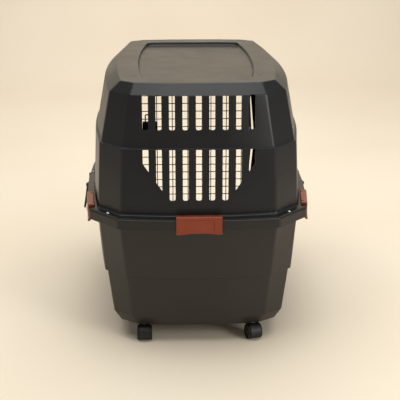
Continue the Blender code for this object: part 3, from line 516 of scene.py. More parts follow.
def add_box(bm: bmesh.types.BMesh, low: Sequence[float], high: Sequence[float]) -> None:
    """Adds a closed box between two corners.

    Args:
        bm: The mesh to add to.
        low: The corner with the lowest values.
        high: The corner with the highest values.
    """
    centre = [(a + b) / 2 for a, b in zip(low, high)]
    size = [b - a for a, b in zip(low, high)]
    bmesh.ops.create_cube(bm, size=1.0, matrix=Matrix.Translation(centre) @ Matrix.Diagonal((*size, 1.0)))


def add_rod(
    bm: bmesh.types.BMesh,
    start: Sequence[float],
    end: Sequence[float],
    radius: float,
    sides: int = ROD_SIDES,
) -> None:
    """Adds a closed round rod between two points.

    Args:
        bm: The mesh to add to.
        start: One end.
        end: The other end.
        radius: The rod's radius.
        sides: Its number of sides.
    """
    run = Vector(end) - Vector(start)
    turn = run.to_track_quat("Z", "Y").to_matrix().to_4x4()
    matrix = Matrix.Translation((Vector(start) + Vector(end)) / 2) @ turn
    bmesh.ops.create_cone(
        bm, cap_ends=True, segments=sides, radius1=radius, radius2=radius, depth=run.length, matrix=matrix
    )


def box_between(low: Sequence[float], high: Sequence[float]) -> bmesh.types.BMesh:
    """A new mesh that holds one box.

    Args:
        low: The corner with the lowest values.
        high: The corner with the highest values.

    Returns:
        The mesh.
    """
    bm = bmesh.new()
    add_box(bm, low, high)
    return bm


def rod_between(
    start: Sequence[float], end: Sequence[float], radius: float, sides: int = ROD_SIDES
) -> bmesh.types.BMesh:
    """A new mesh that holds one rod.

    Args:
        start: One end.
        end: The other end.
        radius: The rod's radius.
        sides: Its number of sides.

    Returns:
        The mesh.
    """
    bm = bmesh.new()
    add_rod(bm, start, end, radius, sides)
    return bm


def add_prism(
    bm: bmesh.types.BMesh, outline: Sequence[Sequence[float]], axis: str, low: float, high: float
) -> None:
    """Adds an outline drawn across one axis, drawn out along it.

    Args:
        bm: The mesh to add to.
        outline: The outline's points.
        axis: X, Y or Z.
        low: Where it starts along the axis.
        high: Where it ends.
    """
    along = "XYZ".index(axis)

    def placed(point: Sequence[float], where: float) -> Vector:
        values = list(point)
        values.insert(along, where)
        return Vector(values)

    face = bm.faces.new([bm.verts.new(placed(point, low)) for point in outline])
    moved = bmesh.ops.extrude_face_region(bm, geom=[face])["geom"]
    shift = placed((0.0, 0.0), high - low)
    bmesh.ops.translate(bm, vec=shift, verts=[v for v in moved if isinstance(v, bmesh.types.BMVert)])


def prism(outline: Sequence[Sequence[float]], axis: str, low: float, high: float) -> bmesh.types.BMesh:
    """A new mesh that holds one prism.

    Args:
        outline: The outline's points.
        axis: X, Y or Z.
        low: Where it starts along the axis.
        high: Where it ends.

    Returns:
        The mesh.
    """
    bm = bmesh.new()
    add_prism(bm, outline, axis, low, high)
    return bm


def arc(centre: Point, radius: float, start: float, end: float, steps: int) -> list[Point]:
    """Points on an arc, both ends included.

    Args:
        centre: The arc's centre.
        radius: Its radius.
        start: The angle of its first point, in radians.
        end: The angle of its last point.
        steps: The number of steps between them.

    Returns:
        The points.
    """
    turns = [start + (end - start) * i / steps for i in range(steps + 1)]
    return [(centre[0] + radius * math.cos(turn), centre[1] + radius * math.sin(turn)) for turn in turns]


def flat_arc(half: float, rise: float) -> tuple[float, float]:
    """The circle of a flat arc.

    Args:
        half: Half the arc's chord.
        rise: How far its middle stands off the chord.

    Returns:
        The circle's radius, and the angle from the arc's middle to an end a little past the chord.
    """
    radius = (half**2 + rise**2) / (2 * rise)
    return radius, math.acos((radius - CAP_PAST * rise) / radius)


def turned(profile: Sequence[Point], steps: int) -> bmesh.types.BMesh:
    """Turns a profile of (radius, height) points about Z into a closed mesh.

    Args:
        profile: A closed ring of points, or an open line whose ends lie on the axis.
        steps: The number of faces round it.

    Returns:
        The mesh.
    """
    bm = bmesh.new()
    on_axis = profile[0][0] == 0.0
    rows = []
    for radius, height in profile:
        if radius == 0.0:
            rows.append([bm.verts.new((0.0, 0.0, height))] * steps)
            continue
        turns = [2 * math.pi * i / steps for i in range(steps)]
        rows.append([bm.verts.new((radius * math.cos(t), radius * math.sin(t), height)) for t in turns])
    pairs = list(zip(rows, rows[1:]))
    if not on_axis:
        pairs.append((rows[-1], rows[0]))
    for first, second in pairs:
        for i in range(steps):
            j = (i + 1) % steps
            corners = dict.fromkeys((first[i], first[j], second[j], second[i]))
            bm.faces.new(list(corners))
    return bm


def swept(
    points: Sequence[Sequence[float]], radius: float, sides: int, closed: bool = False
) -> bmesh.types.BMesh:
    """A round bar bent along points.

    Args:
        points: The bar's middle line.
        radius: Its radius.
        sides: Its number of sides, in fours.
        closed: Whether its ends meet.

    Returns:
        The mesh.
    """
    curve = bpy.data.curves.new("bar", "CURVE")
    curve.dimensions = "3D"
    curve.bevel_depth = radius
    curve.bevel_resolution = sides // 4
    curve.use_fill_caps = True
    spline = curve.splines.new("POLY")
    spline.points.add(len(points) - 1)
    for point, place in zip(spline.points, points):
        point.co = (*place, 1.0)
    spline.use_cyclic_u = closed
    guide = fresh_object("bar", curve)
    bpy.context.view_layer.update()
    mesh = bpy.data.meshes.new_from_object(guide.evaluated_get(bpy.context.evaluated_depsgraph_get()))
    bpy.data.curves.remove(curve)
    bm = taken(mesh)
    bmesh.ops.remove_doubles(bm, verts=bm.verts, dist=SEAM_DISTANCE)
    return bm


# Outlines and skins


@dataclass(frozen=True)
class Level:
    """A plan outline: bowed ends, bowed sides and a flat facet across each corner."""

    end_x: float
    end_y: float
    end_bow: float
    side_x: float
    side_y: float
    side_bow: float

    def side_point(self, share: float) -> Vector:
        """A point on the +X side, which is straight behind a latch.

        Args:
            share: How far along the side's half length the point is, from 0 to 1.

        Returns:
            The point.
        """
        bowed = min(share, LATCH_SEAT_FROM)
        point = Vector((self.side_x + self.side_bow * (1 - bowed**2), self.side_y * bowed))
        if share <= LATCH_SEAT_FROM:
            return point
        corner = Vector((self.side_x, self.side_y))
        return point.lerp(corner, (share - LATCH_SEAT_FROM) / (1 - LATCH_SEAT_FROM))

    def end_point(self, x: float) -> Vector:
        """A point on the +Y end, which is straight in its middle.

        Args:
            x: How far from the end's middle the point is.

        Returns:
            The point.
        """
        flat = END_FLAT / self.end_x
        bow = min(1.0, (1 - (x / self.end_x) ** 2) / (1 - flat**2))
        return Vector((x, self.end_y + self.end_bow * bow))

    def outline(self, rounding: float = 0.006, steps: int = 8) -> list[Vector]:
        """The level's points, anticlockwise from the middle of the +X side.

        Args:
            rounding: How far each facet's end is rounded back.
            steps: The number of steps along each half side and half end.

        Returns:
            The points.
        """
        side_corner, end_corner = self.side_point(1.0), self.end_point(self.end_x)
        across = end_corner - side_corner
        facet = across.normalized() * min(rounding, MOST_SHARE * across.length)
        last = 1 - rounding / self.side_y
        quarter = [self.side_point(last * i / steps) for i in range(steps + 1)]
        quarter += bent(quarter[-1], side_corner, side_corner + facet)
        start = self.end_x - rounding
        end = [self.end_point(start * (1 - i / steps)) for i in range(steps + 1)]
        quarter.append(end_corner - facet)
        quarter += bent(end_corner - facet, end_corner, end[0])
        quarter += end[1:]
        left = [Vector((-p.x, p.y)) for p in reversed(quarter[:-1])]
        far = quarter + left
        near = [Vector((p.x, -p.y)) for p in reversed(far)][1:-1]
        return far + near


def bent(start: Vector, corner: Vector, end: Vector, steps: int = 4) -> list[Vector]:
    """Points of a smooth bend from start to end round a corner, without the start."""
    shares = [i / steps for i in range(1, steps + 1)]
    return [start * (1 - s) ** 2 + corner * (2 * s * (1 - s)) + end * s**2 for s in shares]


def inset(points: Sequence[Vector], distance: float) -> list[Vector]:
    """Draws an outline in by a distance, or out where the distance is negative.

    Args:
        points: The outline, anticlockwise.
        distance: How far each edge moves in.

    Returns:
        The moved outline.
    """
    moved = []
    for i, here in enumerate(points):
        before = (here - points[i - 1]).normalized()
        after = (points[(i + 1) % len(points)] - here).normalized()
        out_before, out_after = Vector((before.y, -before.x)), Vector((after.y, -after.x))
        moved.append(here - distance * (out_before + out_after) / (1 + out_before.dot(out_after)))
    return moved


def ring(points: Iterable[Vector], height: float) -> Ring:
    """An outline raised to a height."""
    return [Vector((p.x, p.y, height)) for p in points]


def shifted(corner: Vector, towards: Vector, reach: float) -> Vector:
    """Where a rounding that reaches so far from a corner ends on the edge to a neighbour."""
    edge = towards - corner
    return corner + edge.normalized() * min(reach, MOST_SHARE * edge.length)


def soften(rings: Sequence[Ring], reaches: Sequence[float], steps: int = 4) -> list[Ring]:
    """Rounds a skin at its inner rings.

    Args:
        rings: The skin's rings.
        reaches: For each inner ring, how far its rounding reaches; 0 leaves it sharp.
        steps: The number of steps across a rounding.

    Returns:
        The rings of the rounded skin.
    """
    made = [rings[0]]
    for before, here, after, reach in zip(rings, rings[1:], rings[2:], reaches):
        if reach == 0.0:
            made.append(here)
            continue
        starts = [shifted(b, a, reach) for a, b in zip(before, here)]
        ends = [shifted(b, c, reach) for b, c in zip(here, after)]
        made.append(starts)
        for i in range(1, steps + 1):
            s = i / steps
            curve = zip(starts, here, ends)
            made.append([a * (1 - s) ** 2 + b * (2 * s * (1 - s)) + c * s**2 for a, b, c in curve])
    made.append(rings[-1])
    return made


def stepped(rings: Sequence[Ring], most: float = 0.035) -> list[Ring]:
    """Adds rings where two stand far apart, so that no face is twisted.

    Args:
        rings: The rings.
        most: The largest step wanted between two rings.

    Returns:
        The rings with those between them.
    """
    made = [rings[0]]
    for low, high in zip(rings, rings[1:]):
        count = max(1, round((high[0] - low[0]).length / most))
        made += [[a.lerp(b, i / count) for a, b in zip(low, high)] for i in range(1, count + 1)]
    return made


def lofted(rings: Sequence[Ring]) -> bmesh.types.BMesh:
    """A closed skin through rings, capped at both ends.

    Args:
        rings: The rings, all with the same number of points.

    Returns:
        The mesh.
    """
    bm = bmesh.new()
    loops = [[bm.verts.new(point) for point in points] for points in stepped(rings)]
    for low, high in zip(loops, loops[1:]):
        for i in range(len(low)):
            j = (i + 1) % len(low)
            bm.faces.new((low[i], low[j], high[j], high[i]))
    bm.faces.new(loops[-1])
    bm.faces.new(list(reversed(loops[0])))
    return bm


def rounded(points: Sequence[Vector], reach: float, steps: int = 4) -> list[Vector]:
    """Rounds the corners of a closed outline.

    Args:
        points: The outline.
        reach: How far a rounding reaches along each edge.
        steps: The number of steps across it.

    Returns:
        The rounded outline.
    """
    made = []
    for i, corner in enumerate(points):
        start = shifted(corner, points[i - 1], reach)
        end = shifted(corner, points[(i + 1) % len(points)], reach)
        made.append(start)
        made += bent(start, corner, end, steps)
    return made


def mirrored(half: Sequence[Point]) -> list[Vector]:
    """A closed outline from the points of its right half, bottom to top."""
    return [Vector(point) for point in half] + [Vector((-x, z)) for x, z in reversed(half)]


# Sizes that the two shells share

BASE_Z = 0.057  # the tub's underside
SKIRT_Z = 0.4065  # the skirt's lower edge
RIM_Z = 0.4372  # the rim's top
SEAT_GAP = 0.0003  # between pieces that lie on each other
WALL = 0.0035
FLANGE_Z = RIM_Z + SEAT_GAP + WALL  # the top of the hood's flange
STEP_RISE = 0.002  # the height over which a wall steps
PAST = 0.02  # how far a tool runs past what it cuts
BITE = 0.001  # how far joined shapes run into each other
END_FLAT = 0.085  # half the straight middle of an end
LATCH_SEAT_FROM = 0.585  # the share of a side's half length from which it is straight
LATCH_PIVOT_IN = 0.0145  # from the rim's edge in to a latch's hinge line
LATCH_PIVOT_RISE = 0.0038  # from the flange up to it
LATCH_PIVOT_Z = FLANGE_Z + LATCH_PIVOT_RISE
SHELL_BOLT = 0.003  # radius
RIGHT_BOLTS = (  # name, X and Y on the right side
    ("rear", 0.2765, -0.460),
    ("middle", 0.3545, 0.0),
    ("front", 0.2925, 0.4415),
)
RIM = Level(0.245, 0.510, 0.018, 0.337, 0.410, 0.029)

# Sizes that the door, its lock and the doorway share

DOOR_LOW = 0.146  # these four place the middle line of the door's frame
DOOR_HIGH = 0.6308
DOOR_HALF = 0.25755
DOOR_Y = 0.513
WIRE = 0.0018  # radius
FRAME_WIRE = 0.003  # radius
HINGE_ROD = 0.0035  # radius
PIN_REACH = 0.0095  # how far the rod and the bolts run into their lugs
LUG_GAP = 0.0025  # between the door's frame and a lug
LUG_HEIGHT = 0.012
LOCK_X = -0.16665  # the lock's middle
LOCK_Z = 0.4685
BOLT = 0.003  # radius
BOLT_Y = 0.5215


# The shells


@dataclass(frozen=True)
class VentRows:
    """Two rows of slots; slanted outer slots draw the lower one to a point."""

    pitch: float = 0.0395
    width: float = 0.0173
    upper: Span = (0.7030, 0.8045)
    lower: Span = (0.4900, 0.6470)
    slant: float = 1.435  # rise over run
    slant_gap: float = 0.001  # from the last full slot to where the slant starts
    corner: float = 0.0022
    corner_steps: int = 3
    foot: float = 0.0065
    foot_steps: int = 5

    def slot(self, middle: float, span: Span, slant_from: float) -> list[Vector]:
        """One slot's outline.

        Args:
            middle: Where its middle line is.
            span: Its lowest and highest point.
            slant_from: How far out the slanted feet start.

        Returns:
            The outline.
        """
        low, high = span
        half = self.width / 2
        left, right = middle - half, middle + half
        if abs(middle) > slant_from:
            foot = [Vector((x, low + max(0.0, abs(x) - slant_from) * self.slant)) for x in (left, right)]
            head = [Vector((right, high)), Vector((left, high))]
            return rounded(foot + head, self.corner, self.corner_steps)
        edge = []
        for z, sign, reach in ((low, 1, self.foot), (high, -1, self.corner)):
            bend = [Vector((right - reach, z))]
            bend += bent(bend[0], Vector((right, z)), Vector((right, z + sign * reach)), self.foot_steps)
            edge += bend[::sign]
        return edge + [Vector((2 * middle - p.x, p.y)) for p in reversed(edge)]

    def add(
        self, bm: bmesh.types.BMesh, count: int, level: int, axis: str, start: float, end: float
    ) -> None:
        """Adds both rows of one wall to a tool mesh.

        Args:
            bm: The tool mesh.
            count: The number of slots in a row.
            level: The number of lower slots that reach the full depth.
            axis: The axis along which the slots are cut.
            start: Where the tool starts along it.
            end: Where it ends.
        """
        slant_from = (level * self.pitch - (self.pitch - self.width)) / 2 + self.slant_gap
        for i in range(count):
            middle = (i - (count - 1) / 2) * self.pitch
            add_prism(bm, self.slot(middle, self.upper, math.inf), axis, start, end)
            add_prism(bm, self.slot(middle, self.lower, slant_from), axis, start, end)


@dataclass(frozen=True)
class Portal:
    """The box round the doorway, whose lower part belongs to the tub and upper part to the hood."""

    front: float = 0.505
    back: float = 0.36
    plate: float = 0.004  # the wall round the doorway
    low: tuple[Point, ...] = ((0.240, 0.110), (0.254, 0.124), (0.274, 0.300))
    high: tuple[Point, ...] = ((0.274, 0.560), (0.262, 0.646), (0.250, 0.660))
    doorway: tuple[Point, ...] = (
        (0.205, 0.158),
        (0.227, 0.180),
        (0.250, 0.4372),
        (0.2345, 0.607),
        (0.2185, 0.619),
    )
    corner: float = 0.014

    def whole(self) -> list[Vector]:
        """The box's outline."""
        return rounded(mirrored(self.low + self.high), self.corner)

    def part(self, split: float, below: bool) -> list[Vector]:
        """The outline below or above the line where the shells part.

        Args:
            split: The height of that line.
            below: Whether the lower part is wanted.

        Returns:
            The outline.
        """
        width = self.low[-1][0]
        kept = [point for point in self.whole() if (point.y < split) == below]
        right, left = Vector((width, split)), Vector((-width, split))
        if below:
            rising = [point for point in kept if point.x > 0]
            return rising + [right, left] + [point for point in kept if point.x < 0]
        return [right] + kept + [left]

    def add_to(self, shell: Object, outline: Sequence[Vector], core: bmesh.types.BMesh) -> None:
        """Puts its part in place of a shell's own end wall.

        Args:
            shell: The shell.
            outline: The part's outline.
            core: The space inside the shell, as a closed mesh.
        """
        behind, ahead = self.back - PAST, RIM.end_y + RIM.end_bow + PAST
        carve(shell, prism(inset(self.whole(), WALL / 2), "Y", behind, ahead), Cut.AWAY)
        box = object_from(prism(outline, "Y", self.back, self.front), "portal")
        carve(box, core, Cut.AWAY)
        carve(box, prism(inset(self.whole(), WALL), "Y", behind, self.front - self.plate), Cut.AWAY)
        opening = rounded(mirrored(self.doorway), self.corner)
        carve(box, prism(opening, "Y", behind, ahead), Cut.AWAY)
        carve(shell, taken(box.data), Cut.ON)


@dataclass(frozen=True)
class DoorLugs:
    """Above and below the door, a drilled lug for the hinge rod and a keeper for the lock's bolt."""

    span: Span
    top: bool
    half: float = 0.0087
    wall: float = 0.004  # in front of a hole

    def add_to(self, shell: Object) -> None:
        """Joins the lugs on a shell and cuts their holes.

        Args:
            shell: The shell.
        """
        low, high = self.span
        back = PORTAL.front - BITE
        lugs = bmesh.new()
        lug_front = DOOR_Y + HINGE_ROD + self.wall
        add_box(lugs, (DOOR_HALF - self.half, back, low), (DOOR_HALF + self.half, lug_front, high))
        keeper_front = BOLT_Y + BOLT + self.wall / 2
        add_box(lugs, (LOCK_X - self.half, back, low), (LOCK_X + self.half, keeper_front, high))
        carve(shell, lugs, Cut.ON)
        inner, away = (low, 1) if self.top else (high, -1)
        blind, mouth = inner + away * (PIN_REACH + SEAT_GAP), inner - away * PAST / 2
        holes = bmesh.new()
        clear = HINGE_ROD + 2 * SEAT_GAP
        add_rod(holes, (DOOR_HALF, DOOR_Y, mouth), (DOOR_HALF, DOOR_Y, blind), clear)
        groove = BOLT + SEAT_GAP
        near = (LOCK_X - groove, BOLT_Y - groove, low - BITE)
        add_box(holes, near, (LOCK_X + groove, keeper_front + BITE, high + BITE))
        carve(shell, holes, Cut.AWAY)


def latch_seats() -> list[tuple[str, Matrix]]:
    """Where the latches hang.

    Returns:
        For each latch its name and the frame on its hinge line: X along the rim, Y outward, Z up.
    """
    corner, inner = RIM.side_point(1.0), RIM.side_point(LATCH_SEAT_FROM)
    centre, run = (corner + inner) / 2, (inner - corner).normalized()
    lean = math.atan2(-run.x, -run.y)
    seats = [("rear", Vector((0.0, -RIM.end_y - RIM.end_bow)), math.pi)]
    for side in Side:
        for end in End:
            turn = -side.value * (math.pi / 2 + end.value * lean)
            place = Vector((side.value * centre.x, end.value * centre.y))
            seats.append((f"{side.name}_{end.name}".lower(), place, turn))
    frames = []
    for name, seat, turn in seats:
        spin = Matrix.Rotation(turn, 4, "Z")
        outward = spin @ Vector((0.0, 1.0, 0.0))
        pivot = Vector((seat.x, seat.y, LATCH_PIVOT_Z)) - outward * LATCH_PIVOT_IN
        frames.append((name, Matrix.Translation(pivot) @ spin))
    return frames


def bolt_places() -> list[tuple[str, float, float]]:
    """The name, X and Y of each bolt that holds the shells together."""
    places = []
    for side in Side:
        for name, x, y in RIGHT_BOLTS:
            places.append((f"{side.name}_{name}".lower(), side.value * x, y))
    return places


def bolt_holes() -> bmesh.types.BMesh:
    """A tool mesh for the bolts' holes."""
    bm = bmesh.new()
    for _, x, y in bolt_places():
        add_rod(bm, (x, y, RIM_Z - PAST), (x, y, RIM_Z + PAST), SHELL_BOLT + 2 * SEAT_GAP)
    return bm


@dataclass
class Hood:
    """The upper shell: vented walls, a drafted shoulder, and a roof with a shallow recess."""

    foot: Level = Level(0.2366, 0.4815, 0.018, 0.310, 0.400, 0.033)
    step_under: Level = Level(0.2285, 0.480, 0.018, 0.3005, 0.397, 0.033)
    step_over: Level = Level(0.2253, 0.4726, 0.018, 0.295, 0.392, 0.033)
    shoulder: Level = Level(0.2014, 0.456, 0.018, 0.266, 0.395, 0.033)
    roof: Level = Level(0.189, 0.4325, 0.012, 0.231, 0.401, 0.028)
    recess: Level = Level(0.155, 0.362, 0.006, 0.169, 0.350, 0.021)
    step_z: float = 0.6475
    shoulder_z: float = 0.8025
    roof_z: float = 0.837
    flange_inset: float = 0.003
    fillet: float = 0.003
    fillet_rise: float = 0.004
    recess_depth: float = 0.012
    recess_draft: float = 0.004
    outer_bends: tuple[float, ...] = (
        0.003,  # the flange's fillet
        0.0025,  # the foot
        0.001,  # under the step
        0.001,  # over the step
        0.003,  # the shoulder
        0.003,  # the roof's edge
        0.0015,  # the recess's edge
        0.007,  # the recess's floor
    )
    inner_bends: tuple[float, ...] = (
        0.002,  # under the recess's floor
        0.002,  # under the recess's edge
        0.003,  # the roof's edge
        0.004,  # the shoulder
        0.001,  # over the step
        0.001,  # under the step
        0.002,  # the foot
    )
    dimple: float = 0.0085  # radius
    dimple_depth: float = 0.0012
    dimple_x: float = 0.194
    dimple_ys: tuple[float, ...] = (-0.3275, 0.367)
    dimple_sides: int = 32
    dimple_steps: int = 8
    vents: VentRows = VentRows()
    slots: int = 9  # in a row
    full_slots: int = 5  # in the middle of a lower row, before the slanted ones
    edge: float = 0.0006

    def walls(self) -> list[tuple[Level, float]]:
        """The levels of the outer face from the foot to the roof, with their heights."""
        return [
            (self.foot, FLANGE_Z + self.fillet_rise),
            (self.step_under, self.step_z),
            (self.step_over, self.step_z + STEP_RISE),
            (self.shoulder, self.shoulder_z),
            (self.roof, self.roof_z),
        ]

    def outer(self) -> list[Ring]:
        """The outer face's rings, from the flange's edge to the recess."""
        flange = inset(RIM.outline(), self.flange_inset)
        rings = [ring(flange, FLANGE_Z), ring(inset(self.foot.outline(), -self.fillet), FLANGE_Z)]
        rings += [ring(level.outline(), z) for level, z in self.walls()]
        low = self.roof_z - self.recess_depth
        recess = self.recess.outline()
        rings += [ring(recess, self.roof_z), ring(inset(recess, self.recess_draft), low)]
        rings.append(ring(inset(recess, 4 * self.recess_draft), low))
        return soften(rings, self.outer_bends)

    def inner(self) -> list[Ring]:
        """The inner face's rings, from the recess down to the flange's edge."""
        low = self.roof_z - self.recess_depth - WALL
        recess = self.recess.outline()
        rings = [ring(inset(recess, 2 * self.recess_draft), low)]
        rings.append(ring(inset(recess, self.recess_draft - WALL), low))
        rings.append(ring(inset(recess, -WALL), self.roof_z - WALL))
        rings.append(ring(inset(self.roof.outline(), WALL / 2), self.roof_z - WALL))
        rings += [ring(inset(level.outline(), WALL), z) for level, z in reversed(self.walls()[1:-1])]
        rings.append(ring(inset(self.foot.outline(), WALL), FLANGE_Z - WALL))
        rings.append(ring(inset(RIM.outline(), self.flange_inset), FLANGE_Z - WALL))
        return soften(rings, self.inner_bends)

    def core(self) -> bmesh.types.BMesh:
        """The space inside the hood, up to the middle of its wall."""
        levels = [(self.foot, RIM_Z - PAST)] + self.walls()[:-1] + [(self.roof, self.roof_z - WALL / 2)]
        return lofted([ring(inset(level.outline(), WALL / 2), z) for level, z in levels])

    def vent_tool(self) -> bmesh.types.BMesh:
        """The slots of the rear and the sides."""
        bm = bmesh.new()
        rear, side = RIM.end_y + RIM.end_bow + PAST, RIM.side_x + RIM.side_bow + PAST
        self.vents.add(bm, self.slots, self.full_slots, "Y", -rear, -self.roof.end_y + 2 * PAST)
        for sign in Side:
            ends = sorted((sign.value * side, sign.value * (self.roof.side_x - 2 * PAST)))
            self.vents.add(bm, self.slots, self.full_slots, "X", *ends)
        return bm

    def dimple_tool(self) -> bmesh.types.BMesh:
        """A ball's lower cap, which leaves a shallow round dimple in the roof."""
        radius, spread = flat_arc(self.dimple, self.dimple_depth)
        low, top = self.roof_z - self.dimple_depth, self.roof_z + self.dimple_depth
        down = -math.pi / 2
        cap = arc((0.0, low + radius), radius, down, down + spread, self.dimple_steps)[1:]
        return turned([(0.0, low)] + cap + [(0.0, top)], self.dimple_sides)

    def build(self) -> None:
        """Builds the hood and dresses it."""
        hood = object_from(lofted(self.inner() + self.outer()), "moulded_hood")
        PORTAL.add_to(hood, PORTAL.part(RIM_Z + SEAT_GAP, below=False), self.core())
        low = DOOR_HIGH + FRAME_WIRE + LUG_GAP
        DoorLugs((low, low + LUG_HEIGHT), top=True).add_to(hood)
        for name, seat in latch_seats():
            LATCHES.add_ears(hood, seat)
        carve(hood, bolt_holes(), Cut.AWAY)
        carve(hood, self.vent_tool(), Cut.AWAY)
        for side in Side:
            for y in self.dimple_ys:
                place = Matrix.Translation((side.value * self.dimple_x, y, 0.0))
                carve(hood, self.dimple_tool(), Cut.AWAY, place)
        soften_edges(hood, self.edge, above=MOULDED_SHARP_ANGLE)
        dress(hood, "crate", finished(HOOD_PLASTIC), "hood_plastic", "top_shell")


@dataclass
class Tub:
    """The lower shell: a stepped tub with a broad rim and a skirt round it."""

    base: Level = Level(0.191, 0.430, 0.012, 0.247, 0.393, 0.028)
    foot: Level = Level(0.2095, 0.450, 0.018, 0.2685, 0.403, 0.030)
    step_under: Level = Level(0.2205, 0.466, 0.018, 0.286, 0.4035, 0.032)
    step_over: Level = Level(0.223, 0.471, 0.018, 0.294, 0.4045, 0.032)
    head: Level = Level(0.2395, 0.4945, 0.018, 0.310, 0.406, 0.031)
    foot_z: float = 0.0925
    step_z: float = 0.2325
    rim_edge: float = 0.003
    floor_inset: float = 0.012
    outer_bends: tuple[float, ...] = (
        0.003,  # the base's edge
        0.003,  # the foot
        0.001,  # under the step
        0.001,  # over the step
        0.002,  # the head, under the rim
        0.001,  # inside the skirt
    )
    inner_bends: tuple[float, ...] = (
        0.002,  # the skirt's top
        0.002,  # the rim's edge
        0.003,  # the head
        0.001,  # over the step
        0.001,  # under the step
        0.003,  # the foot
        0.003,  # the floor's edge
    )
    portal_sink: float = 0.0002
    edge: float = 0.0006

    def walls(self) -> list[tuple[Level, float]]:
        """The levels of the walls from the foot to the step, with their heights."""
        return [
            (self.foot, self.foot_z),
            (self.step_under, self.step_z),
            (self.step_over, self.step_z + STEP_RISE),
        ]

    def outer(self) -> list[Ring]:
        """The outer face's rings, from the base up to the rim and down to the skirt's edge."""
        base = self.base.outline()
        rings = [ring(inset(base, self.floor_inset), BASE_Z), ring(base, BASE_Z)]
        rings += [ring(level.outline(), z) for level, z in self.walls()]
        rings.append(ring(self.head.outline(), RIM_Z - WALL))
        inside = inset(RIM.outline(), WALL)
        rings += [ring(inside, RIM_Z - WALL), ring(inside, SKIRT_Z)]
        return soften(rings, self.outer_bends)

    def inner(self) -> list[Ring]:
        """The rings up the skirt, in over the rim and down inside to the floor."""
        rim = RIM.outline()
        rings = [ring(rim, SKIRT_Z), ring(rim, RIM_Z - self.rim_edge)]
        rings.append(ring(inset(rim, self.rim_edge), RIM_Z))
        rings.append(ring(inset(self.head.outline(), WALL), RIM_Z))
        rings += [ring(inset(level.outline(), WALL), z) for level, z in reversed(self.walls())]
        rings.append(ring(inset(self.base.outline(), WALL), BASE_Z + WALL))
        rings.append(ring(inset(self.base.outline(), self.floor_inset), BASE_Z + WALL))
        return soften(rings, self.inner_bends)

    def core(self) -> bmesh.types.BMesh:
        """The space inside the tub, up to the middle of its wall."""
        levels = [(self.base, BASE_Z + WALL / 2)] + self.walls() + [(self.head, RIM_Z + PAST)]
        return lofted([ring(inset(level.outline(), WALL / 2), z) for level, z in levels])

    def build(self) -> None:
        """Builds the tub and dresses it."""
        tub = object_from(lofted(self.outer() + self.inner()), "moulded_tub")
        PORTAL.add_to(tub, PORTAL.part(RIM_Z - self.portal_sink, below=True), self.core())
        high = DOOR_LOW - FRAME_WIRE - LUG_GAP
        DoorLugs((high - LUG_HEIGHT, high), top=False).add_to(tub)
        for name, seat in latch_seats():
            carve(tub, LATCHES.notch(), Cut.AWAY, seat)
        carve(tub, bolt_holes(), Cut.AWAY)
        HANDLES.add_lugs(tub)
        soften_edges(tub, self.edge, above=MOULDED_SHARP_ANGLE)
        dress(tub, "crate", finished(TUB_PLASTIC), "tub_plastic", "bottom_shell")


# Latches


